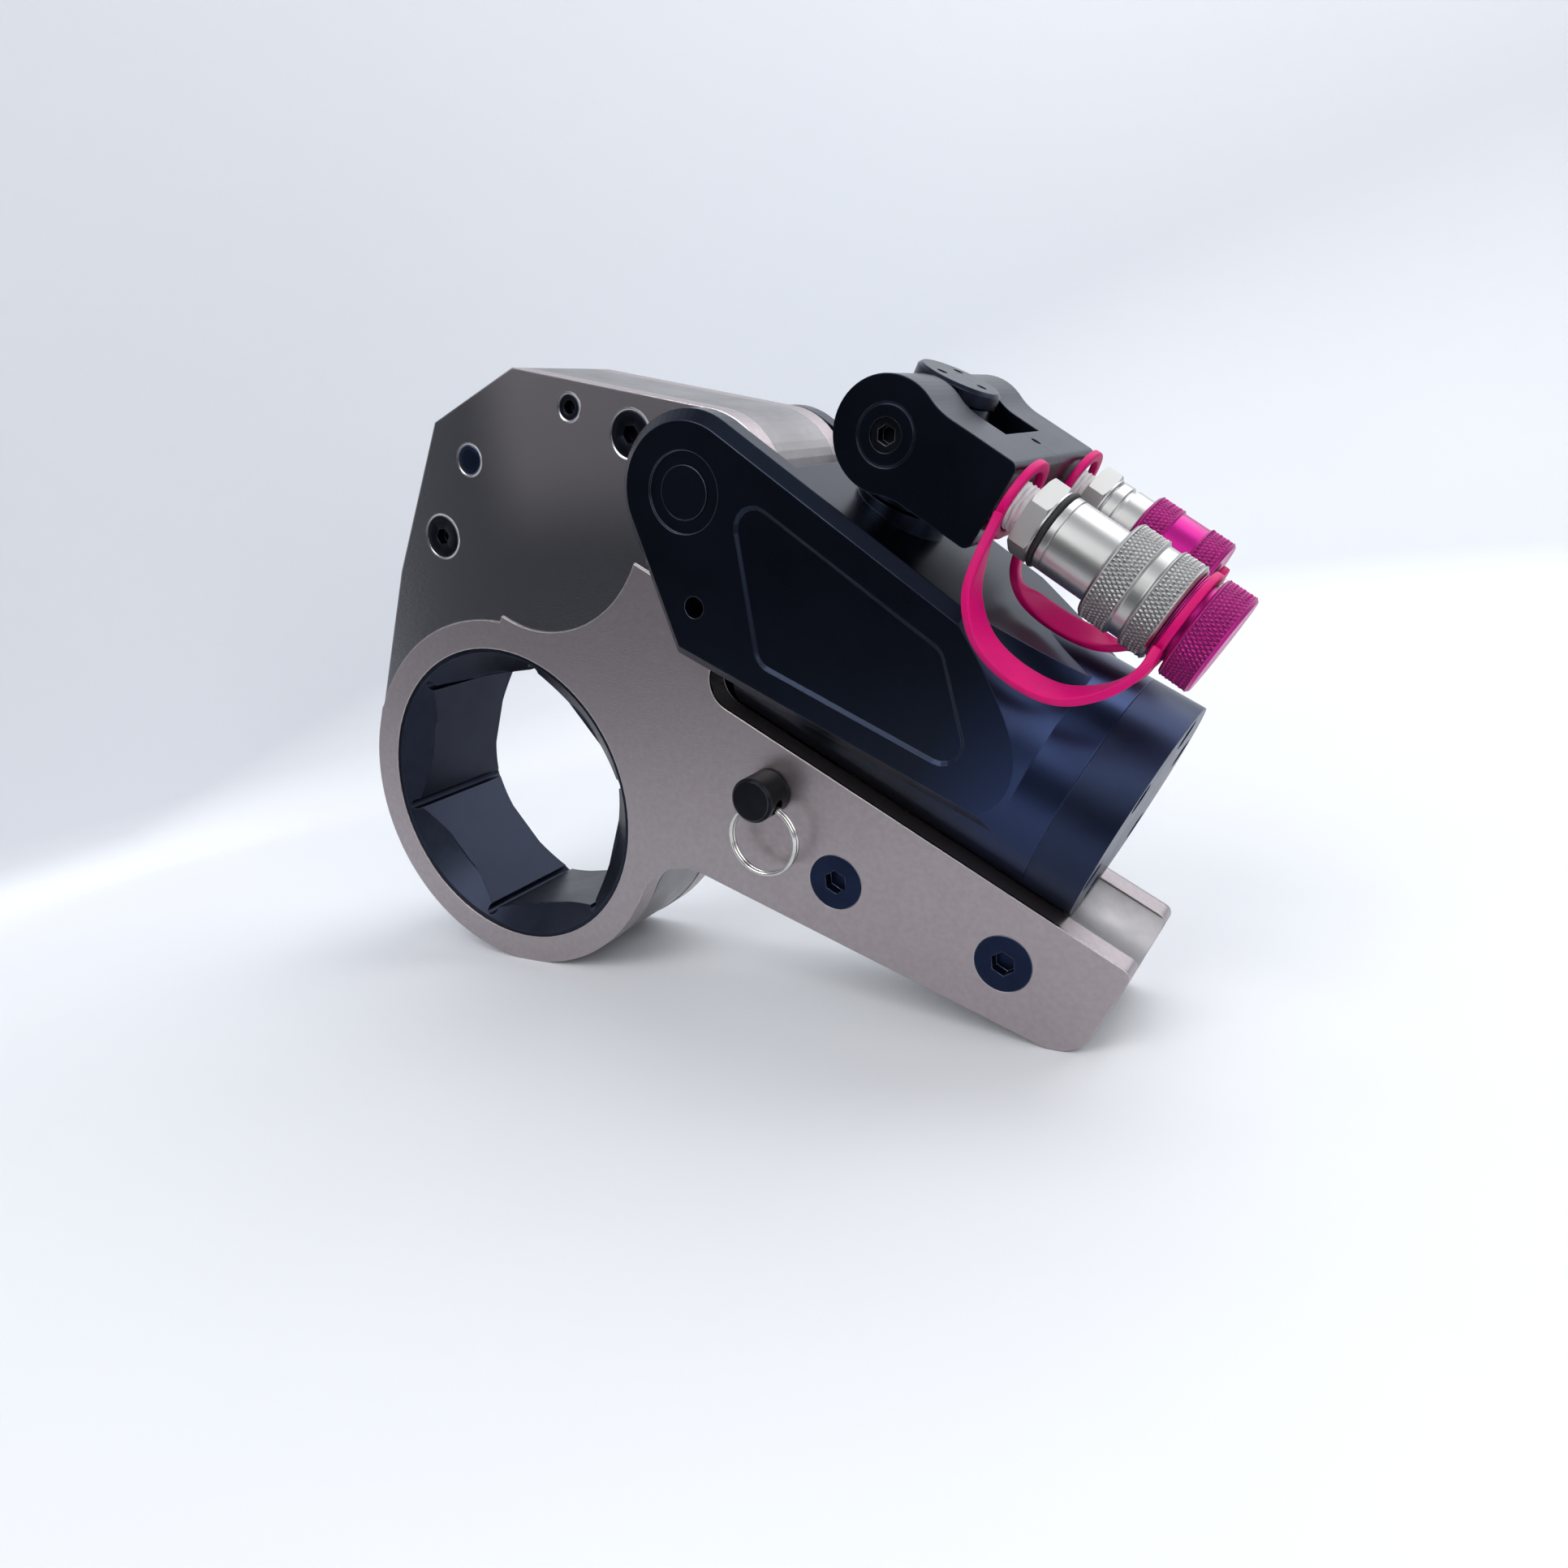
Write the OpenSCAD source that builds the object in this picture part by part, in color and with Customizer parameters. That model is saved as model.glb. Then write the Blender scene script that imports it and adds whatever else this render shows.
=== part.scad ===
// Hydraulic torque wrench: ratchet link, power head and swivelling hose couplers.
// Tool frame: X along the cylinder, Y along the drive axis, Z across the arm.
// The whole tool is then turned so that ring and arm stand on one level.

/* [Link] */
// Width across flats of the nut that the drive takes
hex_af = 90; // [84:0.5:94]
// Angle of a hexagon corner from the cylinder direction
hex_turn = 37.8; // [0:0.1:60]
// Total width of the link over both plates
link_w = 53; // [50:0.5:60]
// Thickness of one side plate
plate_t = 9; // [7:0.5:10]
// Wall of the ratchet's collars outside the nut's corners
collar_wall = 4.24; // [3.6:0.02:5]
// Wall of the ring outside the collars
ring_wall = 10.3; // [9.6:0.1:12]
// Setback of the collars from the plate faces
collar_setback = 0.7; // [0.3:0.1:2]
// Left edge of the head
head_left = -73; // [-78:0.5:-71]
// Height where the left edge starts to lean into the ring
head_shoulder = 56; // [50:1:66]
// Height of the head's upper left corner
head_corner = 114; // [108:1:118]
// Crown corner along the cylinder
crown_u = -46.7; // [-52:0.1:-42]
// Crown corner height
crown_v = 145.2; // [143:0.1:148]
// Radius of the nose round the link pin
nose_r = 24.4; // [22:0.1:25]
// Link pin along the cylinder
pin_u = 35.5; // [34:0.1:37]
// Link pin height
pin_v = 142.3; // [141:0.1:144]
// Radius of the link pin
pin_r = 8.2; // [6:0.1:9]
// Depth of the polished recess on the head's faces
recess_d = 0.8; // [0.3:0.1:1.5]
// Radius of the recess's round end
recess_r = 44.6; // [40:0.1:48]

/* [Reaction arm] */
// Far end of the arm
arm_end = 220; // [212:1:240]
// Height of the arm's top edge
arm_top = 82.5; // [80:0.1:84]
// Point on the arm's lower edge along the cylinder
arm_low_u = 94.3; // [92:0.1:97]
// Height of the lower edge at that point
arm_low_v = 25.2; // [22:0.1:28]
// Taper of the lower edge in degrees
arm_taper = 9.66; // [7:0.1:11]
// Corner radius at the foot of the arm
arm_corner_r = 13; // [8:0.5:16]
// Fillet between ring and arm
waist_r = 23; // [18:0.5:26]
// Fillet in the slot above the arm
slot_r = 10; // [6:0.5:12]
// Front end of the reaction block
block_start = 107; // [105:0.5:116]

/* [Drive] */
// Number of ratchet teeth
teeth = 36; // [36:36:36]
// Rise of the tooth tips over the collars
tooth_rise = 6; // [5.4:0.1:6.2]
// Tooth depth
tooth_h = 3; // [2:0.1:3.2]
// Width of the toothed band
tooth_w = 19; // [15:0.5:20]
// Rise of the drive plate's ring over the tooth tips
drive_wall = 1; // [0.4:0.1:1.2]
// Lean of the drive lever to each side
drive_lean = 10; // [10:10:10]
// Radius of the lever's eye
eye_r = 12.5; // [11:0.1:12.8]
// Radius of the drive pin
drive_pin_r = 6; // [5:0.1:7]
// Width of the drive shoe
shoe_w = 28; // [24:1:29]
// Lift that frees the shoe from the teeth
shoe_lift = 3.6; // [3.4:0.1:4]

/* [Power head] */
// Height of the cylinder axis over the ring centre
axis_v = 115.1; // [114.6:0.1:115.6]
// Radius of the cylinder
cyl_r = 36.3; // [36:0.1:36.8]
// Radius of the cylinder bore
bore_r = 21; // [19:0.1:23]
// Half width over the cheeks
cheek_y = 37; // [36.9:0.1:42]
// Chamfer round the cheeks
cheek_chamfer = 3.5; // [2:0.1:4]
// Slope of the cheek's front edge in degrees
cheek_rake = 43.4; // [41:0.1:46]
// Slope of the cheek's top in degrees
cheek_fall = 8; // [6:0.1:9]
// Slope of the cheek's lower edge in degrees
cheek_rise = 3.1; // [2:0.1:4]
// Height of the cheek's lower edge under the link pin
cheek_drop = 48.7; // [47:0.1:50]
// Where the shoulder cone runs out on the cylinder
cone_end = 166; // [160:0.5:172]
// Half angle of the shoulder cone
cone_angle = 22.2; // [20:0.1:26]
// Joint between cylinder and end cap
cap_joint = 179; // [177:0.5:182]
// Length of the end cap
cap_len = 16.5; // [13:0.5:20]
// Radius of the piston rod
rod_r = 11; // [9:0.1:11.5]
// Length of the piston
piston_len = 24; // [20:0.5:26]
// Radius of the rod gland
gland_r = 16; // [14:0.1:18]

/* [Pull pin] */
// Pull pin along the cylinder
pull_u = 95.5; // [95:0.1:97]
// Pull pin height
pull_v = 66.5; // [65:0.1:67]
// Radius of the pin
pull_r = 4.5; // [3.5:0.1:4.8]
// Radius of the knob
knob_r = 7.4; // [7:0.1:9]
// Length of the knob
knob_len = 11.4; // [10:0.1:14]
// Pull travel
pull_travel = 5; // [4:0.1:5.2]
// Mean radius of the key ring
key_r = 11.9; // [11:0.1:13]
// Wire radius of the key ring
key_wire = 0.75; // [0.5:0.05:0.8]

/* [Swivel] */
// Post along the cylinder
post_u = 88.5; // [86:0.1:91]
// Height of the tilt pivot
pivot_v = 185.5; // [185:0.1:188]
// Radius of the post
post_r = 9; // [7:0.1:9.5]
// Radius of the post's cap
post_cap_r = 13; // [12:0.1:13.2]
// Top of the post's cap over the pivot
post_top = 16.6; // [16:0.1:17]
// Tilt of the yoke below level
yoke_tilt = 5.9; // [3:0.1:6.2]
// Half width of the yoke
yoke_y = 36; // [34:0.5:38]
// Length of the yoke from the pivot
yoke_len = 36.5; // [35:0.5:38]
// Half height of the yoke's block
yoke_h = 13.2; // [11:0.1:13.6]
// Radius of the yoke's eyes
yoke_eye_r = 16; // [14:0.1:16.2]
// Half width of the slot for the tee
yoke_slot_y = 14.6; // [14.3:0.1:16]
// Radius of the tee's trunnions
trunnion_r = 9; // [7:0.1:10]

/* [Couplers] */
// Sideways offset of each coupler
coupler_y = 26.2; // [25:0.1:27]
// Rise of the couplers over the pivot
coupler_rise = 2; // [0:0.1:3]
// Radius of the nipples
nipple_r = 6.5; // [5:0.1:7]
// Width across flats of the coupler hexagon
coupler_af = 20; // [19:0.5:22]
// Gap between the yoke and the coupler hexagons
hex_gap = 7.1; // [6.8:0.1:7.6]
// Length of the coupler hexagons
hex_len = 5.9; // [5:0.1:7]
// Length of the near barrel
barrel_len = 19.8; // [18:0.1:22]
// Length of the near sleeve
sleeve_len = 21; // [18:0.5:24]
// Length of the near cap's knob
knob_w = 9.2; // [8:0.1:12]
// Bare length of the far barrel
far_barrel_len = 12.5; // [10:0.1:14]
// Length of the far cap
far_cap_len = 26; // [22:0.5:28]
// Radius of the near barrel
barrel_r = 10.6; // [10:0.1:11.5]
// Radius of the near sleeve
sleeve_r = 14.2; // [13:0.1:14.6]
// Radius of the near cap's knob
near_cap_r = 14.6; // [13:0.1:15]
// Radius of the far cap
far_cap_r = 12.8; // [12:0.1:13.5]
// Width of the flat straps
strap_w = 7; // [5:0.1:8]
// Thickness of the flat straps
strap_t = 2.8; // [2:0.1:3]

/* [Fasteners] */
// Head radius of the arm screws
arm_head_r = 9.3; // [8:0.1:10]
// Shank radius of the arm screws
arm_shank_r = 5; // [4:0.1:6]
// Socket width across flats of the arm screws
arm_socket_af = 7; // [6:0.5:8]
// Head radius of the head screws
head_head_r = 6; // [5:0.1:7]
// Shank radius of the head screws
head_shank_r = 3.5; // [3:0.1:4]
// Radius of the locating dowel
dowel_r = 4; // [3:0.1:5]
// Radius of the roll pin
roll_r = 3; // [2.5:0.1:4]
// Radius of the threaded handle hole in each cheek
handle_hole_r = 3.4; // [3:0.1:4]

/* [Clearances] */
// Radial running clearance
fit = 0.06; // [0.02:0.01:0.08]
// Gap between still faces
seat = 0.1; // [0.05:0.01:0.15]
// Gap between moving faces
air = 0.4; // [0.3:0.05:0.5]

/* [Hidden] */
$fn = 72;
steel = "#8f8a86";
black = "#16181c";
navy = "#1d2436";
bright = "#c9c9c8";
magenta = "#c4127e";
rubber = "#e0148c";
face_y = link_w / 2;
inner_y = face_y - plate_t;
gap_y = inner_y - seat;
big = 400;
collar_r = hex_af / sqrt(3) + collar_wall;
ring_r = collar_r + ring_wall;
tooth_tip = collar_r + tooth_rise;
drive_ring_r = tooth_tip + drive_wall;

// Points of an arc round c
function arc(c, r, a0, a1, n = 14) =
  [for (i = [0:n]) c + r * [cos(a0 + (a1 - a0) * i / n), sin(a0 + (a1 - a0) * i / n)]];
function at(a) = [cos(a), sin(a)];

// Link outline: tangents and fillet centres
pin_c = [pin_u, pin_v];
shoulder_p = [head_left, head_shoulder];
ring_touch = atan2(head_shoulder, head_left) + acos(ring_r / norm(shoulder_p));
crown_p = [crown_u, crown_v];
crown_dir = atan2(pin_v - crown_v, pin_u - crown_u) + asin(nose_r / norm(pin_c - crown_p));
slot_wall = pin_u + nose_r;
low_p = [arm_low_u, arm_low_v];
low_t = at(arm_taper);
low_n = at(arm_taper - 90);
corner_u = arm_end - arm_corner_r;
corner_v = arm_low_v + (corner_u - arm_low_u) * tan(arm_taper) + arm_corner_r / cos(arm_taper);
waist_q = low_p + waist_r * low_n;
waist_s = -waist_q * low_t + sqrt(pow(waist_q * low_t, 2) - waist_q * waist_q + pow(ring_r + waist_r, 2));
waist_c = waist_q + waist_s * low_t;
waist_a = atan2(waist_c[1], waist_c[0]);
corner_d = norm([corner_u, corner_v]);
stand_angle = atan2(corner_v, corner_u) + asin((ring_r - arm_corner_r) / corner_d);
end_round = 3;

// Fasteners: places on the plates
arm_screw_at = [[block_start + 21.6, 51.5], [arm_end - 33.1, 61.4]];
head_screw_at = [[-58.2, 77.9], [4.3, 145.9]];
dowel_at = [-54.7, 108.9];
roll_at = [-20.8, 143.4];
recess_c = [-24, 109];
screw_len = 22;

// Shroud
shroud_t = 2.3;
shroud_inset = 0.3;
shroud_r = ring_r - shroud_inset;
bulge = 3.5;
bulge_low = 17;
bulge_a = 200;
scoop_d = 2.2;
scoop_r = 190;
shroud_top = head_shoulder + 1;
block_low = arm_low_v + (block_start - arm_low_u) * tan(arm_taper);

// Drive: the eye lies on the cylinder axis at both ends of the stroke
lever_r = axis_v / cos(drive_lean);
stroke = 2 * lever_r * sin(drive_lean);
rest_pin_u = lever_r * sin(drive_lean);
cavity_r = lever_r + eye_r + 1.1;
lever_y = gap_y - air;
fork_y = 8.5;
lever_half = 26;
tongue_y = fork_y - air;
shoe_y = tooth_w / 2 + air;
fork_low = lever_r - eye_r - 5;
pocket_wall = 3.6;
spring_len = 12;
pocket_top = fork_low - pocket_wall;
shoe_top = pocket_top - spring_len - shoe_lift;
stop_u = -36;
seam_u = 12;
rod_clear = 3;

// Power head
cheek_in = face_y + air;
pin_seat_w = 4.2;
pin_seat_d = 0.8;
slot_back = slot_wall + 2.6;
cyl_start = slot_wall + slot_r + 0.6;
cheek_c = [pin_u, pin_v - cheek_drop];
front_wall = 92;
piston_back = cap_joint - 5;
piston_front = piston_back - piston_len;
lug_half = 8;
lug_y = 12;
lug_low = pull_v - lug_half;
boss_r = 15;
boss_top = 163;
trough_gap = 1.2;

// Pull pin
barrel_half = 7;
knob_back = -face_y - 1.1;
knob_mid = knob_back - knob_len / 2;
key_drop = 14.3;
key_hole_drop = 3.4;
key_hole_r = 2.7;

// Swivel
tee_r = 14;
tee_low = boss_top + 0.6;
cap_t = 4.8;
post_low = axis_v + bore_r + 6 - pivot_v;
yoke_slot_len = 23;
yoke_fillet = 20;
yoke_corner = 2.5;
yoke_side = sqrt(pow(yoke_eye_r + yoke_fillet, 2) - pow(yoke_h + yoke_fillet, 2));
yoke_touch = atan2(yoke_h + yoke_fillet, yoke_side);
pivot_screw_r = 3;
pivot_head_r = 4.6;
yoke_mark_r = 8.2;

// Couplers: stations along the axis from the pivot
strap_ring_t = 2.4;
neck_gap = 1.4;
hex_s = yoke_len + hex_gap;
barrel_s = hex_s + hex_len;
sleeve_s = barrel_s + barrel_len;
sleeve_end = sleeve_s + sleeve_len;
knob_s = sleeve_end + strap_ring_t + 2 * neck_gap;
knob_end = knob_s + knob_w;
far_cap_s = barrel_s + far_barrel_len;
far_cap_end = far_cap_s + far_cap_len;
flow_r = 3;
socket_r = barrel_r - 1.1;
plug_r = socket_r - 2.2;
spigot_r = barrel_r - 2.1;
neck_r = near_cap_r - 2.7;
eye_bore = nipple_r + 2.4;
eye_out = eye_bore + 3;
eye_rise = 1.5;

// Strap routes: share of the way to the cap, then sideways and up in sleeve radii from the coupler's axis
strap_s = yoke_len + 2.2;
near_ring_s = sleeve_end + neck_gap;
far_ring_s = far_cap_end + air;
near_turns = [[0, -0.69, -0.25], [0.02, -1.04, -0.88], [0.073, -1.25, -1.81], [0.246, -1.32, -2.38],
  [0.491, -1.39, -2.52], [0.746, -1.39, -2.33], [0.915, -1.25, -1.73], [1, -1.04, -0.99], [1, -0.83, -0.48]];
far_turns = [[0.016, -0.65, -0.39], [0.029, -1.63, -1.16], [0.131, -2.13, -1.65], [0.341, -2.3, -1.78],
  [0.614, -2.3, -1.72], [0.842, -2.06, -1.49], [1, -1.28, -1.01], [1, -0.21, -0.24]];
near_middle = [0.48, -0.69, -0.63];
near_lean = [0, -0.84, 0];
far_middle = [0.5, -0.72, -0.42];
far_lean = [0.1, -2.4, -0.6];
function strap_at(k, side, end) = [strap_s + k[0] * (end - strap_s), side * coupler_y + k[1] * sleeve_r,
  coupler_rise + k[2] * sleeve_r];

module stand() rotate([0, stand_angle, 0]) children();
module slab(y0, y1) translate([0, y1, 0]) rotate([90, 0, 0]) linear_extrude(y1 - y0) children();
module bar(p, r, y0, y1) translate([p[0], y1, p[1]]) rotate([90, 0, 0]) cylinder(r = r, h = y1 - y0);
module cone_bar(p, r0, r1, y0, y1)
  translate([p[0], y0, p[1]]) rotate([-90, 0, 0]) cylinder(r1 = r0, r2 = r1, h = y1 - y0);
module along(u0, u1, r0, r1)
  translate([u0, 0, axis_v]) rotate([0, 90, 0]) cylinder(r1 = r0, r2 = r1, h = u1 - u0);
module hex_bar(p, af, y0, y1, turn = 0)
  translate([p[0], y1, p[1]]) rotate([90, 0, 0]) rotate(turn)
    cylinder(r = af / sqrt(3), h = y1 - y0, $fn = 6);
module flip_y(side) mirror([0, side > 0 ? 1 : 0, 0]) children();

// Both sides' copies of a piece that is drawn on the front side
module both() {
  children();
  mirror([0, 1, 0]) children();
}

// Outline of a side plate
module link_outline() polygon(concat(
  [shoulder_p, [head_left, head_corner], crown_p],
  arc(pin_c, nose_r, crown_dir + 90, 0, 16),
  arc([slot_wall + slot_r, arm_top + slot_r], slot_r, 180, 270),
  arc([arm_end - end_round, arm_top - end_round], end_round, 90, 0, 6),
  arc([corner_u, corner_v], arm_corner_r, 0, arm_taper - 90),
  arc(waist_c, waist_r, arm_taper + 90, 180 + waist_a),
  arc([0, 0], ring_r, waist_a - 3, ring_touch - 360, 58)));

// Polished head area, up to the ring and the round end
module recess_outline() difference() {
  union() {
    translate(recess_c) circle(recess_r);
    translate([head_left - 5, 0]) square([recess_c[0] - head_left + 5, big]);
    translate([head_left - 5, recess_c[1]]) square([big, big]);
  }
  circle(ring_r);
}

// Screw with a cone head flush with the front face
module flat_screw(p, head_r, shank_r, af) difference() {
  union() {
    cone_bar(p, head_r, shank_r, -face_y, -face_y + head_r - shank_r);
    bar(p, shank_r, -face_y, -face_y + screw_len);
  }
  hex_bar(p, af, -face_y - 1, -face_y + head_r - shank_r - 0.5);
}

module flat_screw_hole(p, head_r, shank_r) {
  cone_bar(p, head_r + 1 + seat, shank_r + seat, -face_y - 1, -face_y + head_r - shank_r);
  bar(p, shank_r + seat, -face_y, -face_y + screw_len + seat);
}

// Socket screw set in a counterbore
module cap_screw(p) difference() {
  union() {
    bar(p, head_head_r, -face_y + recess_d + 0.6, -face_y + 6);
    bar(p, head_shank_r, -face_y + 5.9, -face_y + screw_len);
  }
  hex_bar(p, head_head_r, -face_y - 1, -face_y + 4.5);
}

module cap_screw_hole(p) {
  bar(p, head_head_r + seat, -face_y - 1, -face_y + 6 + seat);
  bar(p, head_shank_r + seat, -face_y, -face_y + screw_len + seat);
}

module fastener_holes() {
  for (p = arm_screw_at) flat_screw_hole(p, arm_head_r, arm_shank_r);
  for (p = head_screw_at) cap_screw_hole(p);
  bar(dowel_at, dowel_r + seat, -big, big);
  bar(roll_at, roll_r + seat, -big, big);
}

module side_plate(plunger) difference() {
  slab(-face_y, -inner_y) link_outline();
  slab(-big, -face_y + recess_d) recess_outline();
  bar([0, 0], collar_r + fit, -big, big);
  bar(pin_c, pin_r + seat, -big, big);
  fastener_holes();
  if (plunger) bar([pull_u, pull_v], barrel_half + seat, -big, big);
}

module front_plate() color(steel) stand() side_plate(true);
module rear_plate() color(steel) stand() mirror([0, 1, 0]) side_plate(false);

// One edge of the shroud from the reaction block round the ring to the head, t inside the outer edge
function shroud_edge(t) = concat(
  [[block_start - seat, block_low + (shroud_inset + t) / cos(arm_taper)]],
  arc(waist_c, waist_r + shroud_inset + t, arm_taper + 90, 180 + waist_a),
  arc([0, 0], shroud_r - t, waist_a - 3, bulge_a - 360, 52),
  [[head_left - bulge + t, bulge_low], [head_left - bulge + t, shroud_top - 8],
    [head_left + shroud_inset + t, shroud_top]]);
function backwards(q) = [for (i = [len(q) - 1:-1:0]) q[i]];

module shroud_scoop() let (m = (arm_taper + 270 + waist_a) / 2)
  translate([waist_c[0], scoop_d - scoop_r - gap_y, waist_c[1]])
  rotate([0, 90 - m, 0]) cylinder(r = scoop_r, h = waist_r + 14, $fn = 180);

module ring_shroud() color(bright) stand() difference() {
  slab(-gap_y, gap_y) polygon(concat(shroud_edge(0), backwards(shroud_edge(shroud_t))));
  both() shroud_scoop();
}

// Space that the lever sweeps
module lever_room() {
  intersection() {
    circle(cavity_r);
    translate([stop_u, 0]) square(big);
  }
  circle(drive_ring_r + 2);
}

module head_block() color(steel) stand() difference() {
  slab(-gap_y, gap_y) difference() {
    link_outline();
    lever_room();
    translate([seam_u, 0]) square(big);
    translate([-big, -big]) square([2 * big, big + shroud_top + seat]);
  }
  both() fastener_holes();
}

module nose_block() color(bright) stand() difference() {
  slab(-gap_y, gap_y) difference() {
    link_outline();
    circle(cavity_r);
    translate([-big + seam_u + seat, 0]) square(big);
    translate([0, -big + axis_v + rod_r + rod_clear]) square(big);
  }
  bar(pin_c, pin_r + seat, -big, big);
}

module reaction_block() color(steel) stand() difference() {
  slab(-gap_y, gap_y) intersection() {
    link_outline();
    polygon([[block_start, 0], [arm_end, 0], [arm_end, arm_top], [block_start, arm_top]]);
  }
  along(0, arm_end + 10, cyl_r + trough_gap, cyl_r + trough_gap);
  both() fastener_holes();
}

module arm_screws() color(navy) stand() both()
  for (p = arm_screw_at) flat_screw(p, arm_head_r, arm_shank_r, arm_socket_af);
module head_screws() color(black) stand() both() for (p = head_screw_at) cap_screw(p);
module locating_dowel() color(navy) stand()
  bar(dowel_at, dowel_r, -face_y + recess_d + 0.3, face_y - recess_d - 0.3);

module roll_pin() color(black) stand() difference() {
  bar(roll_at, roll_r, -face_y + recess_d + 0.5, face_y - recess_d - 0.5);
  bar(roll_at, roll_r - 0.9, -big, big);
  translate([roll_at[0], -big, roll_at[1] - 0.4]) cube([roll_r + 1, 2 * big, 0.8]);
}

// Saw teeth: a steep face, then a long back
module tooth_outline(grow) polygon([for (i = [0:teeth - 1]) let (a = i * 360 / teeth)
  each [(tooth_tip - tooth_h + grow) * at(a - grow), (tooth_tip + grow) * at(a + 1.4 - grow)]]);

module ratchet() color(black) stand() difference() {
  union() {
    bar([0, 0], collar_r, -face_y + collar_setback, face_y - collar_setback);
    slab(-tooth_w / 2, tooth_w / 2) tooth_outline(0);
  }
  hex_bar([0, 0], hex_af, -big, big, hex_turn);
  for (i = [0:5]) bar(hex_af / sqrt(3) * at(hex_turn + 60 * i), 2, -big, big);
  both() cone_bar([0, 0], collar_r - 1.6, hex_af / 2 + 1, -face_y + collar_setback - 0.01, -face_y + 8);
}

// Lever seen upright, without its holes
module lever_outline() {
  translate([0, lever_r]) circle(eye_r);
  polygon([[-lever_half, collar_r - 6], [-eye_r - 1, lever_r - eye_r], [-eye_r, lever_r],
    [eye_r, lever_r], [eye_r + 1, lever_r - eye_r], [lever_half, collar_r - 6]]);
}

module lean() stand() rotate([0, drive_lean, 0]) children();

module drive_half() difference() {
  union() {
    bar([0, 0], drive_ring_r, -lever_y, -shoe_y - air);
    slab(-lever_y, -seat / 2) lever_outline();
  }
  bar([0, 0], collar_r + fit, -big, big);
  bar([0, 0], tooth_tip + air + 0.2, -shoe_y - air, big);
  bar([0, lever_r], drive_pin_r + fit, -big, big);
  translate([-shoe_w / 2 - fit, -shoe_y, 0]) cube([shoe_w + 2 * fit, big, pocket_top]);
  translate([-big, -fork_y, fork_low]) cube([2 * big, big, big]);
}

module drive_plate_front() color(bright) lean() drive_half();
module drive_plate_rear() color(bright) lean() mirror([0, 1, 0]) drive_half();
module drive_pin() color(bright) lean() bar([0, lever_r], drive_pin_r, -lever_y, lever_y);

module drive_shoe() color(navy) lean() translate([0, 0, shoe_lift]) difference() {
  translate([-shoe_w / 2, -shoe_y + fit, tooth_tip - tooth_h - 3])
    cube([shoe_w, 2 * shoe_y - 2 * fit, shoe_top - tooth_tip + tooth_h + 3]);
  slab(-big, big) rotate(drive_lean) tooth_outline(air);
}

// Coil spring along Z
module coil(r, wire, len, turns, per) sweep([for (i = [0:per * turns]) let (a = 360 * i / per)
  [r * cos(a), r * sin(a), wire + (len - 2 * wire) * i / (per * turns)]], wire);

module shoe_springs() color(bright) lean() for (s = [-1, 1])
  translate([s * shoe_w / 4, 0, shoe_top + shoe_lift + air]) coil(4, 0.8, spring_len - 2 * air, 3, 9);

// Cheek outline with its rounded nose, moved in by inset
function cheek_low(u, inset) = cheek_c[1] + inset / cos(cheek_rise) + (u - pin_u) * tan(cheek_rise);
function cheek_high(u, inset) = pin_v + (nose_r - inset) / cos(cheek_fall) - (u - pin_u) * tan(cheek_fall);
function rake_at(inset) = pin_c + (nose_r - inset) * at(270 - cheek_rake);
function rake_run(inset) = (rake_at(inset)[1] - cheek_low(rake_at(inset)[0], inset))
  / (sin(cheek_rake) + cos(cheek_rake) * tan(cheek_rise));
function cheek_pts(end, inset) = concat(arc(pin_c, nose_r - inset, 90 - cheek_fall, 270 - cheek_rake, 24),
  [rake_at(inset) + rake_run(inset) * at(-cheek_rake),
    [end, cheek_low(end, inset)], [end, cheek_high(end, inset)]]);

// Both cheeks as one block, chamfered all round its outer faces
module cheek_block() hull() {
  slab(-cheek_y + cheek_chamfer, cheek_y - cheek_chamfer) polygon(cheek_pts(cone_end, 0));
  slab(-cheek_y, cheek_y) polygon(cheek_pts(cone_end, cheek_chamfer));
}

// Shallow pocket, parallel to the cheek's edges
pocket_r = 7;
pocket_d = 0.8;
pocket_pts = [[62, 143.5], [82.5, 114], [141, 117.5], [126, 135]];
function heading(p, q) = atan2(q[1] - p[1], q[0] - p[0]);
function rounded(q, r) = [for (i = [0:len(q) - 1]) let (n = len(q), a = heading(q[(i + n - 1) % n], q[i]),
  b = heading(q[i], q[(i + 1) % n])) each arc(q[i], r, a - 90, a - 90 + (b - a + 720) % 360, 6)];
module pocket_cut() hull() {
  slab(-cheek_y - 1, -cheek_y) polygon(rounded(pocket_pts, pocket_r));
  slab(-cheek_y, -cheek_y + pocket_d) polygon(rounded(pocket_pts, pocket_r - 1.1));
}

module power_head() color(black) stand() difference() {
  union() {
    intersection() {
      cheek_block();
      along(-60, cone_end, cyl_r + (cone_end + 60) * tan(cone_angle), cyl_r);
    }
    along(cyl_start, cap_joint, cyl_r, cyl_r);
    slab(-lug_y, lug_y) translate([pull_u - lug_half, lug_low]) square([2 * lug_half, axis_v - lug_low]);
    translate([post_u, 0, axis_v + bore_r + 5]) cylinder(r = boss_r, h = boss_top - axis_v - bore_r - 5);
  }
  both() {
    pocket_cut();
    bar([52.3, 112.1], handle_hole_r, -big, -cheek_in + 1);
  }
  translate([-big + slot_back, -cheek_in, 0]) cube([big, 2 * cheek_in, big]);
  bar(pin_c, pin_r + seat, -big, big);
  both() bar(pin_c, pin_r + pin_seat_w, -big, -cheek_y + pin_seat_d);
  along(front_wall, cap_joint + 1, bore_r, bore_r);
  along(slot_back - 1, front_wall + 1, gland_r + seat, gland_r + seat);
  bar([pull_u, pull_v], pull_r + fit, -big, big);
  translate([post_u, 0, axis_v + bore_r + 4]) cylinder(r = post_r + seat, h = big);
}

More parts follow.
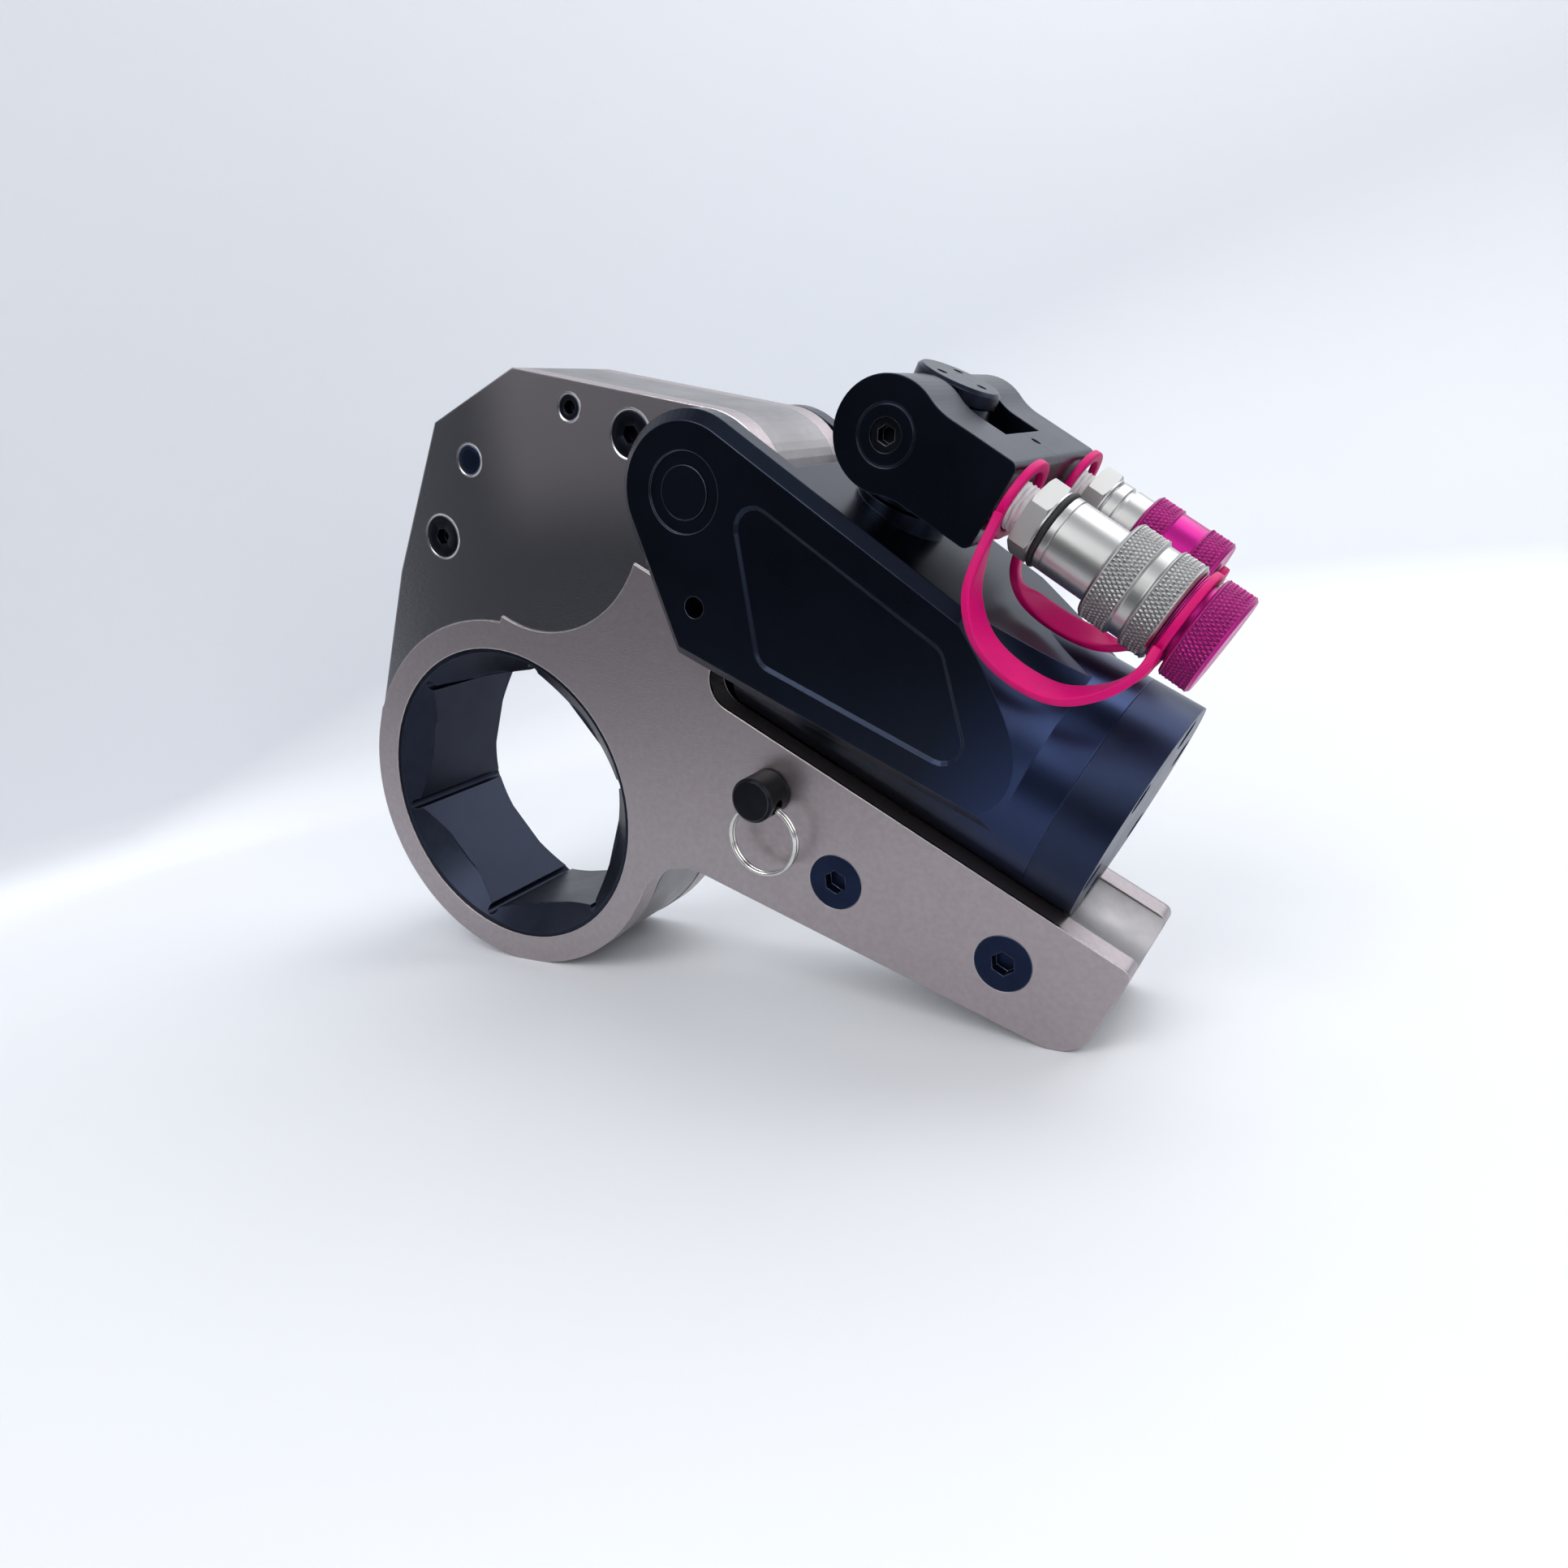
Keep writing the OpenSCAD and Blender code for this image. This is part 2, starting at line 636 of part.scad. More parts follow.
module end_cap() color(navy) stand() difference() {
  union() {
    along(cap_joint + seat, cap_joint + cap_len, cyl_r, cyl_r);
    along(cap_joint - 3, cap_joint + 1, bore_r - seat, bore_r - seat);
  }
  for (a = [0:60:300]) translate([cap_joint + cap_len - 4, 0, axis_v]) rotate([a, 0, 0])
    translate([0, 0, cyl_r - 8]) rotate([0, 90, 0]) cylinder(r = 5, h = 5);
}

module link_pin() color(black) stand() bar(pin_c, pin_r, -cheek_y + 0.4, cheek_y - 0.4);

module piston_rod() color(bright) stand() difference() {
  union() {
    along(piston_front, piston_back, bore_r - fit, bore_r - fit);
    along(rest_pin_u + 18, piston_front + 1, rod_r, rod_r);
    slab(-tongue_y, tongue_y) {
      translate([rest_pin_u, axis_v]) circle(eye_r - 2);
      translate([rest_pin_u, axis_v - eye_r + 4]) square([19, 2 * eye_r - 8]);
    }
  }
  for (dz = [-0.3, lever_r - axis_v + 0.3]) bar([rest_pin_u, axis_v + dz], drive_pin_r + air, -big, big);
  translate([rest_pin_u - drive_pin_r - air, -big, axis_v - 0.3])
    cube([2 * (drive_pin_r + air), 2 * big, lever_r - axis_v + 0.6]);
  difference() {
    along(piston_front + 9, piston_front + 14, bore_r + 1, bore_r + 1);
    along(piston_front + 8, piston_front + 15, bore_r - 3, bore_r - 3);
  }
}

module piston_seal() color(black) stand() difference() {
  along(piston_front + 9 + seat, piston_front + 14 - seat, bore_r - 0.03, bore_r - 0.03);
  along(piston_front, piston_front + 20, bore_r - 3 + seat, bore_r - 3 + seat);
}

module rod_gland() color(bright) stand() difference() {
  along(slot_back, front_wall - 6, gland_r, gland_r);
  along(slot_back - 1, front_wall, rod_r + fit, rod_r + fit);
}

module rod_seal() color(black) stand() difference() {
  along(front_wall - 6 + seat, front_wall - seat, gland_r, gland_r);
  along(front_wall - 8, front_wall + 1, rod_r + fit, rod_r + fit);
}

pull_at = [pull_u, pull_v];
collar_y = -lug_y - 3;
module plunger_barrel() color(black) stand() difference() {
  bar(pull_at, barrel_half, -face_y - 0.4, -lug_y - air);
  bar(pull_at, pull_r + fit, -big, big);
  bar(pull_at, barrel_half - 1.2, -face_y + 1.2, big);
}

module plunger_spring() color(bright) stand() translate([pull_u, -face_y + 1.3, pull_v]) rotate([-90, 0, 0])
  coil(pull_r + 0.73, 0.35, face_y - 1.3 + collar_y - 0.1, 3, 12);

module key_frame() translate([pull_u, knob_mid, pull_v]) rotate([0, -stand_angle, 0]) children();

module pull_pin() color(black) stand() difference() {
  union() {
    bar(pull_at, pull_r, knob_back - 1, -lug_y + 4.5);
    bar(pull_at, barrel_half - 1.2 - fit, collar_y, collar_y + 1.6);
    bar(pull_at, knob_r, knob_back - knob_len + 1, knob_back);
    cone_bar(pull_at, knob_r - 1, knob_r, knob_back - knob_len, knob_back - knob_len + 1);
  }
  key_frame() translate([-big / 2, 0, -key_hole_drop]) rotate([0, 90, 0]) cylinder(r = key_hole_r, h = big);
}

module key_ring() color(bright) stand() key_frame() translate([0, 0, -key_drop]) rotate([90, 0, 0])
  for (s = [-1, 1]) translate([0, 0, s * key_wire * 0.9])
    rotate_extrude() translate([key_r, 0]) circle(key_wire, $fn = 24);

module post_frame() stand() translate([post_u, 0, pivot_v]) children();
module swivel_post() color(black) post_frame() {
  translate([0, 0, post_low]) cylinder(r = post_r, h = post_top - cap_t + 1 - post_low);
  difference() {
    union() {
      translate([0, 0, post_top - cap_t]) cylinder(r = post_cap_r, h = cap_t - 1);
      translate([0, 0, post_top - 1]) cylinder(r1 = post_cap_r, r2 = post_cap_r - 1, h = 1);
    }
    for (a = [0:120:240]) rotate(a)
      translate([post_cap_r * 0.55, 0, post_top - 1.6]) cylinder(r = 1.6, h = 3);
  }
}

module swivel_tee() color(black) post_frame() difference() {
  union() {
    translate([0, 0, tee_low - pivot_v]) cylinder(r = tee_r, h = 4.5 + pivot_v - tee_low);
    translate([0, 0, 4.5]) cylinder(r1 = tee_r, r2 = post_cap_r - 1.5, h = post_top - cap_t - air - 4.5);
    bar([0, 0], trunnion_r, -yoke_slot_y - 8, yoke_slot_y + 8);
  }
  translate([0, 0, -big / 2]) cylinder(r = post_r + fit, h = big);
}

module yoke_frame() post_frame() rotate([0, yoke_tilt, 0]) children();

// Yoke outline: eye, fillets, straight sides and rounded end
function yoke_top() = concat(
  arc([yoke_len - yoke_corner, yoke_h - yoke_corner], yoke_corner, 0, 90, 5),
  arc([yoke_side, yoke_h + yoke_fillet], yoke_fillet, 270, 180 + yoke_touch, 6));
function yoke_outline() = concat(yoke_top(), arc([0, 0], yoke_eye_r, yoke_touch + 3, 357 - yoke_touch, 34),
  [for (p = backwards(yoke_top())) [p[0], -p[1]]]);

// One half of the yoke, on the near side
module yoke_half() difference() {
  slab(-yoke_y, -seat / 2) polygon(yoke_outline());
  translate([-big + yoke_slot_len, -yoke_slot_y, -big / 2]) cube([big, big, big]);
  bar([0, 0], trunnion_r + fit, -yoke_slot_y - 8.5, big);
  bar([0, 0], pivot_screw_r + seat, -big, big);
  bar([0, 0], pivot_head_r + seat, -big, -yoke_y + 7);
  difference() {
    bar([0, 0], yoke_mark_r + 0.5, -big, -yoke_y + 0.3);
    bar([0, 0], yoke_mark_r, -big, 0);
  }
  translate([-1, -coupler_y, coupler_rise]) rotate([0, 90, 0]) cylinder(r = nipple_r + seat, h = big);
  translate([-1, -coupler_y, coupler_rise]) rotate([0, 90, 0]) cylinder(r = flow_r, h = big);
  translate([yoke_len - 9, 0, 0]) cylinder(r = 1.6, h = big);
}

module yoke_near() color(black) yoke_frame() yoke_half();
module yoke_far() color(black) yoke_frame() mirror([0, 1, 0]) yoke_half();

module pivot_screws() color(black) yoke_frame() both() difference() {
  union() {
    bar([0, 0], pivot_screw_r, -yoke_y + 6, -yoke_slot_y - 9);
    bar([0, 0], pivot_head_r, -yoke_y + 0.6, -yoke_y + 7 - seat);
  }
  hex_bar([0, 0], 5, -big, -yoke_y + 4);
}

// Frame of a coupler: Z runs along its axis from the pivot
module coupler(side) yoke_frame()
  translate([0, side * coupler_y, coupler_rise]) rotate([0, 90, 0]) children();
module tube(s0, s1, r, bore) translate([0, 0, s0]) difference() {
  cylinder(r = r, h = s1 - s0);
  translate([0, 0, -1]) cylinder(r = bore, h = s1 - s0 + 2);
}

module nipples() color(bright) for (side = [-1, 1])
  coupler(side) tube(yoke_len - 12, hex_s, nipple_r, flow_r);
module seal_tape() color("#e9e9ea") for (side = [-1, 1])
  coupler(side) tube(hex_s - 2.6, hex_s - seat, nipple_r + 0.6, nipple_r + fit);

module coupler_hex() difference() {
  translate([0, 0, hex_s + seat / 2]) intersection() {
    cylinder(r = coupler_af / sqrt(3), h = hex_len, $fn = 6);
    cylinder(r1 = coupler_af * 0.53, r2 = coupler_af * 0.53 + 2 * hex_len, h = hex_len);
    cylinder(r1 = coupler_af * 0.53 + 2 * hex_len, r2 = coupler_af * 0.53, h = hex_len);
  }
  translate([0, 0, hex_s - 1]) cylinder(r = flow_r, h = 20);
}

groove_s = 1.6;
module near_coupler() color(bright) coupler(-1) {
  coupler_hex();
  difference() {
    union() {
      tube(barrel_s, sleeve_s - air, barrel_r, flow_r);
      tube(sleeve_s - 1, sleeve_end, socket_r, plug_r);
    }
    tube(barrel_s + groove_s - 1, barrel_s + groove_s + 1, barrel_r + 1, barrel_r - 1);
    tube(barrel_s + 4.6, barrel_s + 5, barrel_r + 1, barrel_r - 0.4);
  }
}

module near_o_ring() color(black) coupler(-1) translate([0, 0, barrel_s + groove_s]) rotate_extrude()
  translate([barrel_r - 0.1, 0]) circle(0.8, $fn = 24);
module near_sleeve() color(bright) coupler(-1) tube(sleeve_s, sleeve_end, sleeve_r, socket_r + fit);

module near_cap() color(magenta) coupler(-1) {
  translate([0, 0, sleeve_s + 6]) cylinder(r = plug_r - fit, h = sleeve_end - sleeve_s - 5);
  translate([0, 0, sleeve_end + air]) cylinder(r = neck_r - air, h = knob_s - sleeve_end);
  translate([0, 0, knob_s]) cylinder(r = near_cap_r, h = knob_end - knob_s - 1);
  translate([0, 0, knob_end - 1]) cylinder(r1 = near_cap_r, r2 = near_cap_r - 1, h = 1);
}

module far_coupler() color(bright) coupler(1) {
  coupler_hex();
  difference() {
    tube(barrel_s, far_cap_s - air, barrel_r - 0.4, flow_r);
    tube(barrel_s + 0.6, barrel_s + 1.6, barrel_r + 1, barrel_r - 2);
    tube(barrel_s + 4.6, barrel_s + 6.2, barrel_r + 1, barrel_r - 1.4);
  }
  tube(far_cap_s - 1, far_cap_end - 8, spigot_r, flow_r);
}

module far_cap() color(magenta) coupler(1) difference() {
  translate([0, 0, far_cap_s]) cylinder(r = far_cap_r, h = far_cap_end - far_cap_s);
  translate([0, 0, far_cap_s - 1]) cylinder(r = spigot_r + fit, h = far_cap_end - far_cap_s - 5);
  translate([0, 0, far_cap_end - 7]) cylinder(r = 1.6, h = 8);
}

// Rings of 8 points round a path: a circle for wire, or a flat section with its faces towards a centre
function wire_ring(p, d, r) = let (t = d / norm(d), a = cross(t, [0, 0.3, 1]), n = a / norm(a))
  let (b = cross(t, n)) [for (k = [0:7]) p + r * (cos(45 * k) * n + sin(45 * k) * b)];
strap_edge = 0.6;
strap_x = strap_t / 2;
strap_z = strap_w / 2;
strap_shape = [[strap_x, strap_edge - strap_z], [strap_x, strap_z - strap_edge],
  [strap_x - strap_edge, strap_z], [strap_edge - strap_x, strap_z],
  [-strap_x, strap_z - strap_edge], [-strap_x, strap_edge - strap_z],
  [strap_edge - strap_x, -strap_z], [strap_x - strap_edge, -strap_z]];
function strap_ring(p, d, c) = let (t = d / norm(d), a = p - c, b = a - (a * t) * t, n = b / norm(b))
  let (w = cross(t, n)) [for (k = strap_shape) p + k[0] * n + k[1] * w];
function fine(q) = [for (i = [0:len(q) - 2], k = [0:1]) let (a = q[max(i - 1, 0)], b = q[i], c = q[i + 1],
  d = q[min(i + 2, len(q) - 1)], t = k / 2)
  b + 0.5 * t * (c - a) + t * t * (a - 2.5 * b + 2 * c - 0.5 * d)
    + t * t * t * (1.5 * (b - c) + 0.5 * (d - a))];
function step_at(q, i) = q[min(i + 1, len(q) - 1)] - q[max(i - 1, 0)];
module skin(rings) {
  n = len(rings);
  sides = [for (i = [0:n - 2], k = [0:7]) let (a = 8 * i, j = (k + 1) % 8)
    each [[a + k, a + 8 + k, a + 8 + j], [a + k, a + 8 + j, a + j]]];
  ends = [[for (k = [0:7]) k], [for (k = [7:-1:0]) 8 * (n - 1) + k]];
  polyhedron([for (r = rings) each r], concat(sides, ends));
}
module sweep(q, r) skin([for (i = [0:len(q) - 1]) wire_ring(q[i], step_at(q, i), r)]);
module flat_band(turns, middle, lean, side, end) yoke_frame() {
  route = [for (k = turns) strap_at(k, side, end)];
  q = concat(fine(route), [route[len(route) - 1]]);
  skin([for (i = [0:len(q) - 1]) let (c = middle + sin(180 * i / (len(q) - 1)) * lean)
    strap_ring(q[i], step_at(q, i), strap_at(c, side, end))]);
}

module strap_eye() translate([-eye_rise, 0, 0])
  tube(strap_s - strap_ring_t / 2, strap_s + strap_ring_t / 2, eye_out, eye_bore);

module near_strap() color(rubber) {
  flat_band(near_turns, near_middle, near_lean, -1, near_ring_s + strap_ring_t / 2);
  coupler(-1) strap_eye();
  coupler(-1) tube(near_ring_s, near_ring_s + strap_ring_t, near_cap_r - 0.2, neck_r);
}

module far_strap() color(rubber) {
  flat_band(far_turns, far_middle, far_lean, 1, far_ring_s + strap_ring_t / 2 + air);
  coupler(1) strap_eye();
  coupler(1) tube(far_ring_s, far_ring_s + strap_ring_t, 6, 2.2);
}

module strap_screw() color(bright) coupler(1) {
  translate([0, 0, far_cap_end - 6]) cylinder(r = 1.5, h = 10);
  translate([0, 0, far_cap_end + 2 * air + strap_ring_t]) cylinder(r = 3.2, h = 1.6);
}

front_plate();
rear_plate();
ring_shroud();
head_block();
nose_block();
reaction_block();
arm_screws();
head_screws();
locating_dowel();
roll_pin();
ratchet();
drive_plate_front();
drive_plate_rear();
drive_pin();
drive_shoe();
shoe_springs();
power_head();
end_cap();
link_pin();
piston_rod();
piston_seal();
rod_gland();
rod_seal();
plunger_barrel();
plunger_spring();
pull_pin();
key_ring();
swivel_post();
swivel_tee();
yoke_near();
yoke_far();
pivot_screws();
nipples();
seal_tape();
near_coupler();
near_o_ring();
near_sleeve();
near_cap();
far_coupler();
far_cap();
near_strap();
far_strap();
strap_screw();
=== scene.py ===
"""Finishes, knurls, straps and studio for the hydraulic torque wrench's solids."""

import bmesh
import bpy
import numpy as np
from mathutils import Matrix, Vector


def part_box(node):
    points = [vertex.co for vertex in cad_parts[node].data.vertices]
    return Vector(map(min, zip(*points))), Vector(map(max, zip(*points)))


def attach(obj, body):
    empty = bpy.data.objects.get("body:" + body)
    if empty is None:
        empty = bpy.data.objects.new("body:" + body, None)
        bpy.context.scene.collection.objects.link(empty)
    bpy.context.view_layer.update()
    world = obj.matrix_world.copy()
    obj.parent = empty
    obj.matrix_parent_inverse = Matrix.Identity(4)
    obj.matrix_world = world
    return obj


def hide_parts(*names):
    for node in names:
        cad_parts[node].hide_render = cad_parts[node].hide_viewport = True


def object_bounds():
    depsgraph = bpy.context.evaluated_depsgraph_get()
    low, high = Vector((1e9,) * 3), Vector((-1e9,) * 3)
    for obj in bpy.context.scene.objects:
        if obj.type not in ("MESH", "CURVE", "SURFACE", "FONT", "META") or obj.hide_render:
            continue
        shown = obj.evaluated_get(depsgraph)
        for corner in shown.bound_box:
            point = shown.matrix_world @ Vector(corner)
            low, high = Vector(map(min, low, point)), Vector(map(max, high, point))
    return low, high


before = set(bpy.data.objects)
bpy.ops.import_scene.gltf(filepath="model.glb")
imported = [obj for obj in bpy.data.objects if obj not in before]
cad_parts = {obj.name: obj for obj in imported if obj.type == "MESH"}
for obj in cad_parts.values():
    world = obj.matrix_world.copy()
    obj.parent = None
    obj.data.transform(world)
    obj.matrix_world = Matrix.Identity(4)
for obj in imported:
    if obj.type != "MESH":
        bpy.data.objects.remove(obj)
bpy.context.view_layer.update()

bl_info = {
    "name": "Torque wrench dressing",
    "version": (1, 0, 0),
    "blender": (4, 5, 0),
    "location": "View3D > Sidebar > Wrench",
    "description": "Dresses the solids of a hydraulic torque wrench and lights them",
    "category": "Object",
}

MM = 0.001
STAND = np.radians(29.9611)      # tool frame to standing frame, about the drive axis
TILT = np.radians(5.9)           # yoke below the cylinder's direction
POST_U, PIVOT_V = 88.5, 185.5    # tilt pivot in the tool frame, mm
COUPLER_Y, RISE = 26.2, 2.0      # coupler axes, mm
EYE_S, SLEEVE_R = 38.7, 14.2     # strap eyes along the axes and the sleeve's radius, mm
NEAR_RING_S, FAR_RING_S = 92.9, 89.6     # straps' end rings along the axes, mm
HEX_S, HEX_HALF = 46.55, 2.97    # middle and half length of the couplers' hexagons along the axes, mm
TAPE_S = (36.7, 43.4)            # thread tape along the axes, mm
FACE_Y, RECESS_Y = 26.5, 25.7    # plates' outer faces and the floor of the head's recess, mm
HEAD_SCREWS, DOWEL, ROLL_PIN = ((-58.2, 77.9), (4.3, 145.9)), (-54.7, 108.9), (-20.8, 143.4)   # tool frame, mm
SCREW_R, DOWEL_R, ROLL_R = 7.4, 5.1, 4.1     # their discs as the photograph shows them, mm
SIDES = (-1, 1)                  # near and far
KNURL_SHARP = 24                 # degrees between faces that makes a knurl's edge sharp
FLOOR_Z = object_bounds()[0][2]

# Photograph's view in the tool frame, mm and pixels of a 1932 wide picture
VIEW_AT = (212.73, -341.49, 255.25)
VIEW_RIGHT = (0.7944, 0.4936, 0.3540)
VIEW_DOWN = (0.5305, -0.2799, -0.8001)
VIEW_AHEAD = (-0.2958, 0.8234, -0.4842)
FOCAL_PX, CENTRE_Y_PX, PICTURE_PX = 1466.4, 971.5, 1932


def turn(p):
    """Tool-frame vectors (..., 3) turned about Y by the standing angle."""
    u, y, v = np.moveaxis(np.asarray(p, float), -1, 0)
    c, s = np.cos(STAND), np.sin(STAND)
    return np.stack([u * c + v * s, y, v * c - u * s], -1)


def stand(p):
    """Tool-frame points in mm as standing points in metres."""
    return turn(p) * MM


def on_yoke(s, y, up):
    """Standing points from the yoke's frame: s ahead of the pivot, y sideways, up over it."""
    u = POST_U + s * np.cos(TILT) + up * np.sin(TILT)
    v = PIVOT_V - s * np.sin(TILT) + up * np.cos(TILT)
    return stand(np.stack(np.broadcast_arrays(u, y, v), -1))


def on_coupler(side, s, r, phi):
    """Point at station s along a coupler's axis, r out from it at angle phi, where 0 points up from the yoke."""
    return on_yoke(s, side * COUPLER_Y + r * np.sin(phi), RISE + r * np.cos(phi))


def triangle(x):
    """Triangle wave of period 1 between 0 and 1."""
    return np.abs((x % 1) * 2 - 1)


def diamond(s, phi, count, depth):
    """Crossed grooves: the lower of two triangle waves that lean 32 degrees, count round the girth."""
    slope, girth = 0.62, 2 * np.pi * 14.0
    lean = slope * s / (girth / count)
    turns = count * phi / (2 * np.pi)
    return depth * (np.minimum(triangle(turns + lean), triangle(turns - lean)) - 1)


def grid_faces(rows, cols, ring, first=0):
    """Quads of a grid that closes along its columns, and along its rows when ring."""
    i, j = np.meshgrid(np.arange(rows if ring else rows - 1), np.arange(cols), indexing="ij")
    i1, j1 = (i + 1) % rows, (j + 1) % cols
    return (np.stack([i * cols + j, i * cols + j1, i1 * cols + j1, i1 * cols + j], -1).reshape(-1, 4) + first).tolist()


def shell(name, grids, sharp=40.0):
    """Object from closed grids: each is (points[i, j], ring) and, for a knurl, the share of its depth at each point.
    A grid that isn't a ring gets flat ends."""
    points, cuts, faces, first = [], [], [], 0
    for p, ring, *cut in grids:
        rows, cols = p.shape[:2]
        faces += grid_faces(rows, cols, ring, first)
        if not ring:
            last = first + (rows - 1) * cols
            faces += [list(range(first, first + cols)), list(range(last, last + cols))]
        points.append(p.reshape(-1, 3))
        cuts += [c.ravel() for c in cut]
        first += rows * cols
    mesh = bpy.data.meshes.new(name)
    mesh.from_pydata(np.concatenate(points).tolist(), [], faces)
    bm = bmesh.new()
    bm.from_mesh(mesh)
    bmesh.ops.recalc_face_normals(bm, faces=bm.faces)
    bm.to_mesh(mesh)
    bm.free()
    mesh.shade_smooth()
    mesh.set_sharp_from_angle(angle=np.radians(sharp))
    if cuts:
        mesh.attributes.new("groove_shade", "FLOAT", "POINT").data.foreach_set("value", np.concatenate(cuts))
    obj = bpy.data.objects.new(name, mesh)
    bpy.context.scene.collection.objects.link(obj)
    return obj


def profile(points, step):
    """Polyline (s, r) points set every step mm or closer along each side, with every corner kept."""
    q = np.asarray(points, float)
    parts = [a + (b - a) * np.arange(0, 1, 1 / max(1, np.ceil(np.hypot(*(b - a)) / step)))[:, None]
             for a, b in zip(q[:-1], q[1:])]
    return np.concatenate(parts + [q[-1:]])


def knurled(side, outline, bands, count, depth, ring, step=0.28, cols=5):
    """Grid of a turned piece on a coupler: the outline carried round the axis, with diamonds cut where a band holds
    the side."""
    q = profile(outline + outline[:1] if ring else outline, step)
    q = q[:-1] if ring else q
    s, r = q[:, :1], q[:, 1:]
    phi = np.linspace(0, 2 * np.pi, count * cols, endpoint=False)[None, :]
    inside = np.zeros_like(s)
    for s0, s1, r0 in bands:
        inside = np.maximum(inside, (s > s0) & (s < s1) & (r > r0))
    cut = inside * diamond(s, phi, count, depth)
    return on_coupler(side, s, r + cut, phi), ring, -cut / depth


def turned(at, side, rows, cols=72):
    """Grid of a piece turned about an axis along Y through a tool-frame point. Rows are mm out from the recess's
    floor, radius in mm, and 1 where the row is a hexagon: its radius there is the flats' distance over the cosine."""
    out, r, six = np.asarray(rows, float).T[..., None]
    phi = np.linspace(0, 2 * np.pi, cols, endpoint=False)[None, :]
    r = r * np.where(six > 0, 1 / np.cos((phi + np.pi / 6) % (np.pi / 3) - np.pi / 6), 1)
    p = np.broadcast_arrays(at[0] + r * np.cos(phi), side * (RECESS_Y + out), at[1] + r * np.sin(phi))
    return stand(np.stack(p, -1))


def rim(at, side, radius):
    """Lip round a hole in the recess: a face that climbs away from the hole, then a steep outer side, carried round the
    axis."""
    high = 0.28
    return turned(at, side, [(0, radius, 0), (high, radius + 0.6, 0), (high, radius + 0.66, 0), (0, radius + 0.8, 0)])


def smooth_path(points, count):
    """Catmull-Rom curve through points, at count even steps of its parameter."""
    q = np.asarray(points, float)
    q = np.concatenate([2 * q[:1] - q[1:2], q, 2 * q[-1:] - q[-2:-1]])
    x = np.linspace(0, len(points) - 1, count)
    i = np.minimum(x.astype(int), len(points) - 2)
    t = (x - i)[:, None]
    a, b, c, d = q[i], q[i + 1], q[i + 2], q[i + 3]
    return b + 0.5 * t * (c - a) + t**2 * (a - 2.5 * b + 2 * c - 0.5 * d) + t**3 * (1.5 * (b - c) + 0.5 * (d - a))


def unit(v):
    """Vectors (..., 3) made one long."""
    return v / np.linalg.norm(v, axis=-1, keepdims=True)


def squared(wave, power):
    """Sine or cosine pulled towards a square wave, for rounded rectangles."""
    return np.sign(wave) * np.abs(wave) ** power


def strap(turns, middle, lean, side, end, count=110):
    """Path of a strap and the points that its faces look at, in the yoke's frame: shares of the way from the eye to
    the cap, then sleeve radii from the coupler's axis. The points move by lean and back, as a squared sine."""
    x = np.linspace(0, 1, count)[:, None]
    q = np.stack([smooth_path(turns, count), np.asarray(middle) + np.sin(np.pi * x)**2 * np.asarray(lean)])
    q = q * np.array([end - EYE_S, SLEEVE_R, SLEEVE_R])
    return q + np.array([EYE_S, side * COUPLER_Y, RISE])


def band(path, centre, width, thick, cols=28):
    """Flat strap: a rounded rectangle carried along a path, with its faces towards and away from the centres. It widens
    into a web over the first tenth of its length."""
    ahead = unit(np.gradient(path, axis=0))
    out = path - centre
    out = unit(out - np.sum(out * ahead, -1, keepdims=True) * ahead)
    across = np.cross(ahead, out)
    a = np.linspace(0, 2 * np.pi, cols, endpoint=False)
    widening, reach, corner = 0.6, 0.06, 0.3
    web = 1 + widening * np.exp(-np.linspace(0, 1, len(path)) / reach)[:, None, None]
    x = (squared(np.cos(a), corner) * width / 2)[None, :, None] * web
    z = (squared(np.sin(a), corner) * thick / 2)[None, :, None]
    return on_yoke(*np.moveaxis(path[:, None] + x * across[:, None] + z * out[:, None], -1, 0))


def washer(side, s, thick, inner, outer, rise, cols=72):
    """Flat eye round a coupler, its centre lifted by rise, with rounded edges."""
    a = np.linspace(0, 2 * np.pi, 20, endpoint=False)[:, None]
    phi = np.linspace(0, 2 * np.pi, cols, endpoint=False)[None, :]
    corner = 0.4
    r = (inner + outer) / 2 + squared(np.cos(a), corner) * (outer - inner) / 2
    station = s + squared(np.sin(a), corner) * thick / 2
    up, y = r * np.cos(phi) + rise, r * np.sin(phi)
    return on_coupler(side, station, np.hypot(up, y), np.arctan2(y, up))


def linear(code):
    """sRGB hex colour as linear RGBA."""
    c = np.array([int(code[i:i + 2], 16) for i in (1, 3, 5)]) / 255
    return tuple(np.where(c <= 0.04045, c / 12.92, ((c + 0.055) / 1.055) ** 2.4)) + (1.0,)


def add(tree, kind, links=(), **settings):
    """Adds a node: settings name its properties or, with __ for a space, its inputs; links are input, output pairs."""
    n = tree.nodes.new(kind)
    for key, value in settings.items():
        if hasattr(n, key):
            setattr(n, key, value)
        else:
            n.inputs[key.replace("__", " ")].default_value = value
    for socket, source in links:
        tree.links.new(source, n.inputs[socket])
    return n


